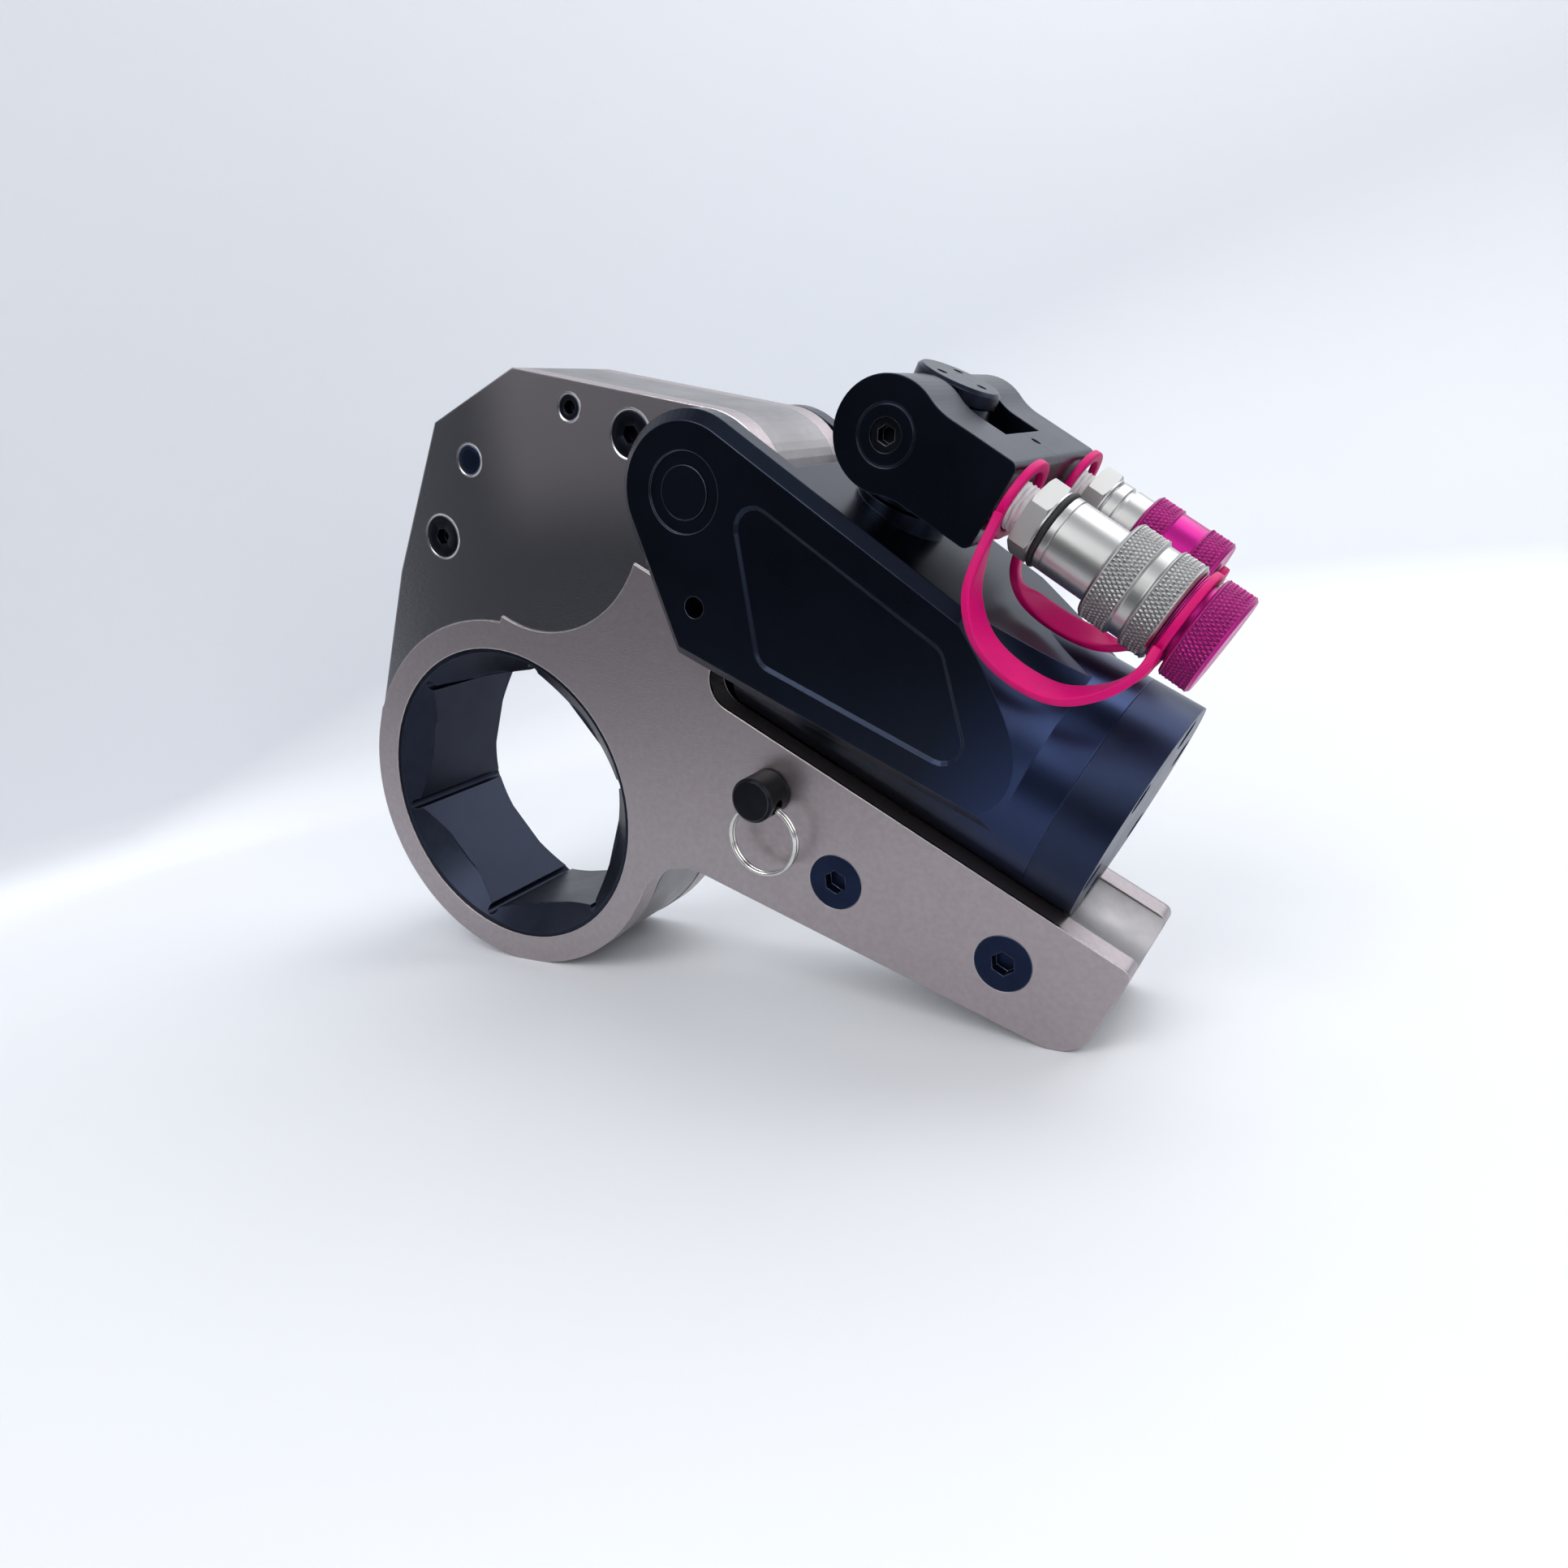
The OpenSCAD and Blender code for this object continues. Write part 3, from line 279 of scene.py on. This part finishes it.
def finish(name, colour, rough, metallic=0.0, tint=None, grain_mm=0.4, bump=0.15, patches_mm=25.0, vary=0.06,
           edge=None, stretch=(1, 1, 1), rounding_mm=0.35, groove_shade=None, **shader):
    """Principled material: two colours mixed by cloudy patches, roughness that follows them, fine grain as bump,
    a rubbed edge colour where the rounded normal leaves the face normal, which on the small pins is also a painted
    rim highlight, and painted shade as a darker colour down in a knurl."""
    mat = bpy.data.materials.new(name)
    mat.use_nodes = True
    t = mat.node_tree
    base = t.nodes["Principled BSDF"]
    place = add(t, "ShaderNodeTexCoord").outputs["Object"]
    grained = add(t, "ShaderNodeMapping", [("Vector", place)], Rotation=(0, -STAND, 0), Scale=stretch).outputs[0]
    patches = add(t, "ShaderNodeTexNoise", [("Vector", place)], Scale=1000 / patches_mm, Detail=4.0, Roughness=0.6)
    grain = add(t, "ShaderNodeTexNoise", [("Vector", grained)], Scale=1000 / grain_mm, Detail=3.0)
    shift = add(t, "ShaderNodeMapRange", [("Value", patches.outputs["Fac"])], From__Min=0.35, From__Max=0.65)
    mix = add(t, "ShaderNodeMix", [("Factor", shift.outputs[0])], data_type="RGBA")
    mix.inputs["A"].default_value = linear(colour)
    mix.inputs["B"].default_value = linear(tint or colour)
    skin = mix.outputs["Result"]
    round_edge = add(t, "ShaderNodeBevel", samples=6, Radius=rounding_mm * MM)
    # edge colour: wear, and on the small pins also a painted rim highlight
    if edge:
        flat = add(t, "ShaderNodeNewGeometry").outputs["Normal"]
        dot = add(t, "ShaderNodeVectorMath", [(0, flat), (1, round_edge.outputs[0])], operation="DOT_PRODUCT")
        near_rim = add(t, "ShaderNodeMapRange", [("Value", dot.outputs["Value"])], From__Min=0.985, From__Max=0.90)
        rim_share = add(t, "ShaderNodeMath", [(0, near_rim.outputs[0]), (1, shift.outputs[0])], operation="MULTIPLY")
        wear_and_highlight = add(t, "ShaderNodeMix", [("Factor", rim_share.outputs[0]), ("A", skin)], data_type="RGBA")
        wear_and_highlight.inputs["B"].default_value = linear(edge)
        skin = wear_and_highlight.outputs["Result"]
    # painted shade: a darker colour down in a knurl's grooves
    if groove_shade:
        cut = add(t, "ShaderNodeAttribute", attribute_name="groove_shade").outputs["Fac"]
        shaded_groove = add(t, "ShaderNodeMix", [("Factor", cut), ("A", skin)], data_type="RGBA")
        shaded_groove.inputs["B"].default_value = linear(groove_shade)
        skin = shaded_groove.outputs["Result"]
    level = add(t, "ShaderNodeMapRange", [("Value", patches.outputs["Fac"])],
                From__Min=0.3, From__Max=0.7, To__Min=rough - vary, To__Max=rough + vary)
    relief = add(t, "ShaderNodeBump", [("Height", grain.outputs["Fac"]), ("Normal", round_edge.outputs[0])],
                 Strength=bump, Distance=grain_mm * MM * 0.25)
    t.links.new(skin, base.inputs["Base Color"])
    t.links.new(level.outputs[0], base.inputs["Roughness"])
    t.links.new(relief.outputs[0], base.inputs["Normal"])
    base.inputs["Metallic"].default_value = metallic
    for key, value in shader.items():
        base.inputs[key.replace("__", " ")].default_value = value
    return mat


def blend(mat, socket, share, value):
    """Mixes a constant or an output into what a socket of the shader already gets, by a share."""
    t = mat.node_tree
    base = t.nodes["Principled BSDF"].inputs[socket]
    mix = add(t, "ShaderNodeMix", [("Factor", share)], data_type="RGBA" if socket == "Base Color" else "FLOAT")
    a, b = [i for i in mix.inputs if i.enabled and i.name in "AB"]
    t.links.new(base.links[0].from_socket, a)
    if isinstance(value, bpy.types.NodeSocket):
        t.links.new(value, b)
    else:
        b.default_value = value
    t.links.new([o for o in mix.outputs if o.enabled][0], base)


def along(tree, axis, space="Object"):
    """Distance along an axis from the frame's origin, in metres, or a direction's share along it for the world."""
    place = add(tree, "ShaderNodeTexCoord").outputs[space]
    dot = add(tree, "ShaderNodeVectorMath", [(0, place)], operation="DOT_PRODUCT")
    dot.inputs[1].default_value = axis
    return dot.outputs["Value"]


def within(tree, value, middle_mm, half_mm):
    """1 where a value lies within half of the middle, 0 elsewhere."""
    test = add(tree, "ShaderNodeMath", [(0, value)], operation="COMPARE")
    test.inputs[1].default_value, test.inputs[2].default_value = middle_mm * MM, half_mm * MM
    return test.outputs[0]


def recessed(mat, colour, painted_reflection, rough):
    """Polished floor of the head's recess: where the surface lies close to the recess's depth along Y. It has a painted
    reflection: it is brighter towards the top and the nose, where both shares along X and Z are high."""
    t = mat.node_tree
    far = add(t, "ShaderNodeMath", [(0, along(t, (0, 1, 0)))], operation="ABSOLUTE").outputs[0]
    floor = within(t, far, RECESS_Y, (FACE_Y - RECESS_Y) * 0.4)
    shares = [add(t, "ShaderNodeMapRange", [("Value", along(t, axis))], From__Min=start, From__Max=end,
                  interpolation_type="SMOOTHSTEP").outputs[0]
              for axis, start, end in (((1, 0, 0), 0.005, 0.036), ((0, 0, 1), 0.085, 0.122))]
    both = add(t, "ShaderNodeMath", enumerate(shares), operation="MULTIPLY")
    shade = add(t, "ShaderNodeMix", [("Factor", both.outputs[0])], data_type="RGBA")
    shade.inputs["A"].default_value, shade.inputs["B"].default_value = linear(colour), linear(painted_reflection)
    blend(mat, "Base Color", floor, shade.outputs["Result"])
    blend(mat, "Roughness", floor, rough)


def graded(mat, axis, start, end, colour):
    """Changes a material's colour to another between two distances in metres along an axis."""
    t = mat.node_tree
    share = add(t, "ShaderNodeMapRange", [("Value", along(t, axis))], From__Min=start, From__Max=end)
    blend(mat, "Base Color", share.outputs[0], linear(colour))


class WrenchColours(bpy.types.PropertyGroup):
    """Colours of the finishes, sRGB hex."""
    plate: bpy.props.StringProperty(name="Plates", description="Nickel-plated side plates", default="#aca3a6")
    body: bpy.props.StringProperty(name="Body", description="Black anodised cheeks and yoke", default="#1d2330")
    cap: bpy.props.StringProperty(name="Caps", description="Anodised coupler caps", default="#b3147f")
    strap: bpy.props.StringProperty(name="Straps", description="Moulded straps", default="#cc0068")
    floor: bpy.props.StringProperty(name="Floor", description="Studio floor", default="#e0e2e5")


class WrenchSizes(bpy.types.PropertyGroup):
    """Sizes of the pieces that are made here, mm."""
    knurl_depth: bpy.props.FloatProperty(name="Knurl depth", description="Depth of the diamonds", default=0.45)
    strap_width: bpy.props.FloatProperty(name="Strap width", description="Across the flat strap", default=7.0)
    strap_thick: bpy.props.FloatProperty(name="Strap thickness", description="Through the flat strap", default=2.8)
    wire: bpy.props.FloatProperty(name="Ring wire", description="Radius of the split ring's wire", default=0.75)


def sizes():
    """Sizes that the panel shows."""
    return bpy.context.scene.wrench_sizes


def colours():
    """Colours that the panel shows."""
    return bpy.context.scene.wrench_colours


def paint(mat, *nodes):
    """Puts a material on CAD nodes."""
    for name in nodes:
        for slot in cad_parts[name].material_slots:
            slot.material = mat


def dress(obj, mat, body, slot, *nodes):
    """Gives a new piece its material and its body, and hides the nodes it stands for; its slot is not used."""
    obj.data.materials.append(mat)
    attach(obj, body)
    if nodes:
        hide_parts(*nodes)


class WRENCH_OT_link(bpy.types.Operator):
    """Plates, blocks, drive and fasteners of the link"""
    bl_idname = "wrench.link"
    bl_label = "Link finishes"

    def execute(self, context):
        # nickel-plated steel, blasted then rolled: warm grey with a fine lengthwise grain and a faint mottle
        plate = finish("nickel_plated_steel", colours().plate, 0.40, 1.0, "#a69da0", 0.5, 0.35, 2.0, 0.03,
                       "#d6d0ca", (0.25, 1, 1), rounding_mm=0.7)
        # painted reflection: the recess floor is painted brighter towards its top and the nose
        recessed(plate, "#9c9a9e", "#e8dee0", 0.19)
        paint(plate, "front_plate", "rear_plate")
        # machined steel, satin: paler where the cutter left it
        paint(finish("machined_steel", "#949294", 0.42, 1.0, "#878587", 0.6, 0.2, 22.0, 0.05, "#c9c4be", (1, 0.2, 1)),
              "head_block", "nose_block", "reaction_block", "ring_shroud")
        # black oxide on steel: blue-black, semi-matt, polished at the lead-in
        paint(finish("black_oxide_drive", "#1e222f", 0.34, 0.9, "#252a38", 0.45, 0.15, 18.0, 0.06, "#5b6070"),
              "ratchet")
        # blued fasteners: dark blue steel with a rubbed rim
        blued = finish("blued_fasteners", "#1a243e", 0.36, 0.9, "#161f36", 0.4, 0.12, 9.0, 0.05, "#8a92a0")
        paint(blued, "arm_screws", "drive_shoe")
        # black oxide fasteners, duller than the pins
        black = finish("black_fasteners", "#12151f", 0.40, 0.9, "#171a24", 0.4, 0.12, 9.0, 0.05, "#5a5d66")
        # discs as wide as the photograph shows them: socket, face, rounded edge, then the shank down the hole
        screw = [(-3.5, 2.6, 1), (-0.1, 2.6, 1), (0.1, 2.9, 1), (0.1, 6.9, 0), (0.0, SCREW_R, 0), (-0.05, 5.8, 0),
                 (-5, 5.8, 0)]
        plug = [(0.08, 4.4, 0), (0.0, DOWEL_R, 0), (-0.05, 3.8, 0), (-5, 3.8, 0)]
        tube = [(-4, 2.2, 0), (-0.1, 2.2, 0), (0.1, 2.7, 0), (0.1, 3.7, 0), (0.0, ROLL_R, 0), (-0.05, 2.8, 0),
                (-5, 2.8, 0)]
        dress(shell("head_screw_heads", [(turned(p, k, screw), False) for p in HEAD_SCREWS for k in SIDES]),
              black, "link", "screw_dark", "head_screws")
        dress(shell("dowel_ends", [(turned(DOWEL, k, plug), False) for k in SIDES]),
              blued, "link", "screw_dark", "locating_dowel")
        dress(shell("roll_pin_ends", [(turned(ROLL_PIN, k, tube), False) for k in SIDES]),
              black, "link", "screw_dark", "roll_pin")
        # polished lips of their holes
        lip = finish("polished_hole_lips", "#d6d4d6", 0.22, 1.0, "#cccacc", 0.3, 0.05, 9.0, 0.03, rounding_mm=0.05)
        holes = [(p, SCREW_R) for p in HEAD_SCREWS] + [(DOWEL, DOWEL_R), (ROLL_PIN, ROLL_R)]
        dress(shell("hole_lips", [(rim(p, k, r), True) for p, r in holes for k in SIDES]), lip, "link", "plate_steel")
        # ground steel inside
        paint(finish("ground_steel", "#b4b3b0", 0.25, 1.0, "#9b9a97", 0.3, 0.1, 15.0, 0.05, "#d8d7d4"),
              "drive_plate_front", "drive_plate_rear", "drive_pin", "shoe_springs", "piston_rod", "rod_gland",
              "plunger_spring")
        return {"FINISHED"}


class WRENCH_OT_power_head(bpy.types.Operator):
    """Cylinder, end cap, pull pin and swivel"""
    bl_idname = "wrench.power_head"
    bl_label = "Power head finishes"

    def execute(self, context):
        # black anodised aluminium over a fine blast: soft sheen, rubbed to grey at the edges
        body = finish("black_anodised_aluminium", colours().body, 0.29, 0.95, "#212735", 0.35, 0.12, 60.0, 0.03,
                      "#5a5f6c", rounding_mm=0.5)
        # painted reflection: a blue sheen, painted bluer towards the cylinder's end
        graded(body, turn((1, 0, 0)), 0.138, 0.166, "#2d3857")
        paint(body, "power_head", "link_pin", "swivel_post", "swivel_tee", "yoke_near", "yoke_far")
        # black oxide on small steel pins, rubbed grey at the rims, and the lighter rim is also a painted highlight
        paint(finish("black_oxide_pins", "#14161c", 0.34, 0.9, "#1a1c22", 0.35, 0.12, 12.0, 0.04, "#80838a"),
              "plunger_barrel", "pull_pin", "pivot_screws")
        # the screwed end cap is blue-black too, a little duller than the cylinder's end
        paint(finish("blue_black_anodised_cap", "#283047", 0.36, 0.95, "#2c354d", 0.35, 0.12, 30.0, 0.04,
                     "#5f6880"), "end_cap")
        # nitrile rubber seals: matt black
        paint(finish("nitrile_seal", "#08080a", 0.60, 0.0, "#0c0c0e", 0.4, 0.2, 8.0, 0.05), "piston_seal", "rod_seal",
              "near_o_ring")
        return {"FINISHED"}


class WRENCH_OT_couplers(bpy.types.Operator):
    """Coupler bodies, knurled sleeve, knurled caps and thread tape"""
    bl_idname = "wrench.couplers"
    bl_label = "Couplers"

    def execute(self, context):
        depth = sizes().knurl_depth
        # zinc-nickel plated steel, turned: bright with soft streaks, with painted shade darker down in the knurl
        steel = finish("turned_plated_steel", "#b6b6b5", 0.35, 1.0, "#aeaead", 0.35, 0.05, 40.0, 0.03, "#e6e6e4",
                       groove_shade="#636365")
        # drawn hexagons, satin
        ahead = turn((np.cos(TILT), 0, -np.sin(TILT)))
        start = POST_U * np.cos(TILT) - PIVOT_V * np.sin(TILT)
        blend(steel, "Roughness", within(steel.node_tree, along(steel.node_tree, ahead), start + HEX_S, HEX_HALF), 0.56)
        paint(steel, "nipples", "near_coupler", "far_coupler", "strap_screw")
        outline = [(69.3, 9.6), (69.3, 13.3), (70.2, 14.2), (78.0, 14.2), (78.8, 13.2), (82.0, 13.2), (82.8, 14.2),
                   (89.4, 14.2), (90.3, 13.3), (90.3, 9.6)]
        bands = [(70.3, 77.9, 14), (82.9, 89.3, 14)]
        dress(shell("knurled_sleeve", [knurled(-1, outline, bands, 66, depth, True)], KNURL_SHARP),
              steel, "sleeve", "coupler_steel", "near_sleeve")
        # magenta anodised aluminium: tinted metal, with painted shade down in the knurl's grooves, so the crests look
        # brighter
        cap = finish("magenta_anodised_caps", colours().cap, 0.34, 0.75, "#a81077", 0.35, 0.12, 10.0, 0.05, "#d86cb4",
                     rounding_mm=0.2, groove_shade="#680a4a")
        near = [(75.3, 7.2), (90.6, 7.2), (90.6, 12.6), (90.9, 12.6), (90.9, 11.3), (91.2, 11.3), (91.2, 12.6),
                (91.5, 12.6), (91.5, 11.3), (95.4, 11.3), (95.4, 13.9), (96.1, 14.6), (103.8, 14.6), (104.7, 13.7)]
        dress(shell("near_cap_knob", [knurled(-1, near, [(96.2, 103.7, 14)], 68, depth, False)], KNURL_SHARP),
              cap, "cap_near", "cap_magenta", "near_cap")
        far = [(62, 8.6), (62, 12.0), (62.8, 12.8), (70, 12.8), (70.6, 12.1), (79.4, 12.1), (80, 12.8), (87.2, 12.8),
               (88, 12.0), (88, 1.7), (83, 1.7), (83, 8.6)]
        bands = [(62.9, 69.9, 12.5), (80.1, 87.1, 12.5)]
        dress(shell("far_cap_cover", [knurled(1, far, bands, 60, depth, True)], KNURL_SHARP),
              cap, "cap_far", "cap_magenta", "far_cap")
        # PTFE thread tape: white, wound over the thread, with ridges and creases
        white = finish("ptfe_thread_tape", "#eceded", 0.55, 0.0, "#dfe1e4", 0.5, 0.3, 3.0, 0.08)
        s = np.linspace(*TAPE_S, 54)[:, None]
        phi = np.linspace(0, 2 * np.pi, 96, endpoint=False)[None, :]
        thread_r, pitch, end_r = 6.62, 1.3, 6.58
        ridge = thread_r + 0.34 * triangle(s / pitch + phi / (2 * np.pi)) + 0.09 * np.sin(7 * phi + 3.1 * s)
        r = np.where((s < TAPE_S[0] + 0.1) | (s > TAPE_S[1] - 0.1), end_r, ridge)
        for side, name in ((-1, "near_tape"), (1, "far_tape")):
            dress(shell(name, [(on_coupler(side, s, r, phi), False)]), white, "yoke", "tape_white", "seal_tape")
        return {"FINISHED"}


class WRENCH_OT_straps(bpy.types.Operator):
    """Two moulded straps from the nipples to the caps"""
    bl_idname = "wrench.straps"
    bl_label = "Straps"

    def execute(self, context):
        # moulded soft PVC: saturated magenta with a waxy sheen
        soft = finish("moulded_soft_vinyl", colours().strap, 0.48, 0.0, "#bd0064", 0.5, 0.08, 14.0, 0.05,
                      Subsurface__Weight=0.06, Subsurface__Scale=0.002, IOR=1.28)
        wide, thick = sizes().strap_width, sizes().strap_thick
        near = strap([(0, -0.69, -0.25), (0.05, -1.04, -0.80), (0.13, -1.25, -1.50), (0.29, -1.32, -2.03),
                      (0.51, -1.39, -2.19), (0.75, -1.39, -2.04), (0.915, -1.25, -1.55), (1, -1.04, -0.95),
                      (1, -0.83, -0.48)], (0.48, -0.69, -0.63), (0, -1.8, 0), -1, NEAR_RING_S)
        far = strap([(0.016, -0.65, -0.39), (0.029, -1.63, -1.16), (0.131, -2.13, -1.65), (0.341, -2.3, -1.78),
                     (0.614, -2.3, -1.72), (0.842, -2.06, -1.49), (1, -1.28, -1.01), (1, -0.21, -0.24)],
                    (0.5, -0.72, -0.42), (0.1, -2.4, -0.6), 1, FAR_RING_S + 0.4)
        ring_t, crease = 2.4, 50
        eye = dict(thick=ring_t, inner=8.9, outer=11.9, rise=1.5)
        dress(shell("near_strap_band", [(band(*near, wide, thick), False),
                                        (washer(-1, EYE_S, **eye), True),
                                        (washer(-1, NEAR_RING_S, ring_t, 11.6, 14.5, 0.0), True)], crease),
              soft, "yoke", "strap_magenta", "near_strap")
        dress(shell("far_strap_band", [(band(*far, wide, thick), False),
                                       (washer(1, EYE_S, **eye), True),
                                       (washer(1, FAR_RING_S, ring_t, 2.0, 6.2, 0.0), True)], crease),
              soft, "yoke", "strap_magenta", "far_strap")
        return {"FINISHED"}


class WRENCH_OT_key_ring(bpy.types.Operator):
    """Split ring of two wire turns"""
    bl_idname = "wrench.key_ring"
    bl_label = "Key ring"

    def execute(self, context):
        w, first = sizes().wire * MM, 1.0
        lo, hi = (np.array(c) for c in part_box("key_ring"))
        centre, mean = (lo + hi) / 2, (hi[0] - lo[0]) / 2 - w
        # two turns of wire side by side, with a quick cross-over between them
        a = np.linspace(0, 3.94 * np.pi, 260)
        climb = (np.clip((a - 1.75 * np.pi) / (0.5 * np.pi), 0, 1) - 0.5) * 2 * w * 0.95
        path = centre + np.stack([mean * np.cos(a - first), climb, mean * np.sin(a - first)], -1)
        out = unit(np.stack([np.cos(a - first), 0 * a, np.sin(a - first)], -1))
        b = np.linspace(0, 2 * np.pi, 16, endpoint=False)
        ring = np.cos(b)[None, :, None] * out[:, None] + np.sin(b)[None, :, None] * np.array([0, 1, 0])
        p = path[:, None] + w * ring
        # nickel-plated spring wire
        wire = finish("nickel_plated_wire", "#d9d8d4", 0.18, 1.0, "#c4c3bf", 0.3, 0.05, 6.0, 0.04)
        dress(shell("split_ring", [(p, False)]), wire, "keyring", "coupler_steel", "key_ring")
        return {"FINISHED"}


def placed(axes, at):
    """World matrix from axes as columns and a place."""
    return Matrix([[*row, c] for row, c in zip(axes, at)] + [[0, 0, 0, 1]])


def sheet(name, p, mat):
    """Stage piece from an open grid of points[i, j]."""
    rows, cols = p.shape[:2]
    i, j = np.meshgrid(np.arange(rows - 1), np.arange(cols - 1), indexing="ij")
    quads = np.stack([i * cols + j, i * cols + j + 1, (i + 1) * cols + j + 1, (i + 1) * cols + j], -1)
    mesh = bpy.data.meshes.new(name)
    mesh.from_pydata(p.reshape(-1, 3).tolist(), [], quads.reshape(-1, 4).tolist())
    mesh.shade_smooth()
    mesh.materials.append(mat)
    piece = bpy.data.objects.new(name, mesh)
    bpy.context.scene.collection.objects.link(piece)


class WRENCH_OT_stage(bpy.types.Operator):
    """Pale floor and backdrop, soft lamps and the photograph's view"""
    bl_idname = "wrench.stage"
    bl_label = "Stage"

    def execute(self, context):
        scene = context.scene
        # wall: its foot runs straight at the left, then round behind the tool, and its bend to the floor widens there
        s = np.linspace(-1.6, 7.0, 173)
        heading = np.radians(82.1 * (1 - np.clip((s - 0.7) / 1.3, 0, 1)))
        foot = np.stack([np.cos(heading), np.sin(heading)], -1)
        line = np.cumsum(foot * (s[1] - s[0]), 0)
        line += np.array([-0.300, 0.0]) - line[np.argmin(np.abs(s))]
        bend = 0.02 + 0.3 * np.clip(s, 0, 1.6)
        a = np.linspace(0, np.pi / 2, 24)[:, None]
        run = np.concatenate([bend * (1 - np.sin(a)), 0 * s[None]])
        rise = np.concatenate([bend * (1 - np.cos(a)), 0 * s[None] + 4.0]) + FLOOR_Z
        xy = line + run[..., None] * np.stack([foot[:, 1], -foot[:, 0]], -1)
        wall = np.concatenate([xy, rise[..., None]], -1)
        wide = 6
        floor = np.array([[[x, y, FLOOR_Z] for x in (-wide, wide)] for y in (-wide, wide)])
        # painted board, with painted shade: a little greyer up the wall, and darker in front of the tool, where the
        # window's light ends
        board = finish("painted_board", colours().floor, 0.55, 0.0, "#dcdee2", 1.5, 0.02, 400.0)
        graded(board, (0, 0, 1), FLOOR_Z + 0.003, FLOOR_Z + 0.03, "#ced1d6")
        graded(board, (0.138, 0.990, 0), -0.27, -0.35, "#55575b")
        sheet("studio_wall", wall, board)
        sheet("studio_floor", floor, board)
        tool, back = (0.06, 0, 0.03), (0.5, 1.7, 0.3)
        for name, at, to, size, watts in (("window", (0.75, 0.85, 1.15), tool, 1.3, 12.0),
                                          ("fill", (-0.15, -1.0, 0.95), tool, 1.0, 13.0),
                                          ("front", (1.0, -0.8, 0.55), tool, 0.9, 5.0),
                                          ("backdrop", (0.5, 0.5, 1.9), back, 1.0, 10.0)):
            lamp = bpy.data.lights.new(name, "AREA")
            lamp.energy, lamp.size = watts, size
            obj = bpy.data.objects.new(name, lamp)
            away = unit(np.array(at) - np.array(to))
            right = unit(np.cross([0, 0, 1], away))
            obj.matrix_world = placed(np.stack([right, np.cross(away, right), away], 1), at)
            scene.collection.objects.link(obj)
        world = bpy.data.worlds.new("studio_light")
        world.use_nodes = True
        t = world.node_tree
        # the room is dark on the near left and light elsewhere
        look = along(t, (0.50, 0.82, 0.28), "Generated")
        share = add(t, "ShaderNodeMapRange", [("Value", look)], From__Min=-0.8, From__Max=0.1)
        room = add(t, "ShaderNodeMix", [("Factor", share.outputs[0])], data_type="RGBA")
        room.inputs["A"].default_value, room.inputs["B"].default_value = linear("#34373d"), linear("#e6eaf2")
        t.links.new(room.outputs["Result"], t.nodes["Background"].inputs["Color"])
        t.nodes["Background"].inputs["Strength"].default_value = 0.66
        scene.world = world
        scene.view_settings.view_transform = "Standard"
        lens = bpy.data.cameras.new("photo_view")
        lens.sensor_width = 36.0
        lens.lens = FOCAL_PX / PICTURE_PX * lens.sensor_width
        lens.shift_y = (CENTRE_Y_PX - PICTURE_PX / 2) / PICTURE_PX
        lens.clip_start, lens.clip_end = 0.01, 20.0
        camera = bpy.data.objects.new("photo_view", lens)
        axes = np.stack([turn(VIEW_RIGHT), -turn(VIEW_DOWN), -turn(VIEW_AHEAD)], 1)
        camera.matrix_world = placed(axes, stand(VIEW_AT))
        scene.collection.objects.link(camera)
        scene.camera = camera
        return {"FINISHED"}


STEPS = (WRENCH_OT_stage, WRENCH_OT_link, WRENCH_OT_power_head, WRENCH_OT_couplers, WRENCH_OT_straps,
         WRENCH_OT_key_ring)


class WRENCH_PT_panel(bpy.types.Panel):
    """Steps and values of the dressing"""
    bl_idname = "WRENCH_PT_panel"
    bl_label = "Torque wrench"
    bl_space_type = "VIEW_3D"
    bl_region_type = "UI"
    bl_category = "Wrench"

    def draw(self, context):
        for group in (context.scene.wrench_sizes, context.scene.wrench_colours):
            for name in group.__annotations__:
                self.layout.prop(group, name)
        for step in STEPS:
            self.layout.operator(step.bl_idname)


CLASSES = (WrenchColours, WrenchSizes) + STEPS + (WRENCH_PT_panel,)


def register():
    for cls in CLASSES:
        bpy.utils.register_class(cls)
    bpy.types.Scene.wrench_sizes = bpy.props.PointerProperty(type=WrenchSizes)
    bpy.types.Scene.wrench_colours = bpy.props.PointerProperty(type=WrenchColours)


def unregister():
    del bpy.types.Scene.wrench_sizes, bpy.types.Scene.wrench_colours
    for cls in reversed(CLASSES):
        bpy.utils.unregister_class(cls)


def main():
    """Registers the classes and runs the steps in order."""
    register()
    for step in STEPS:
        group, call = step.bl_idname.split(".")
        getattr(getattr(bpy.ops, group), call)()


if __name__ == "__main__":
    main()
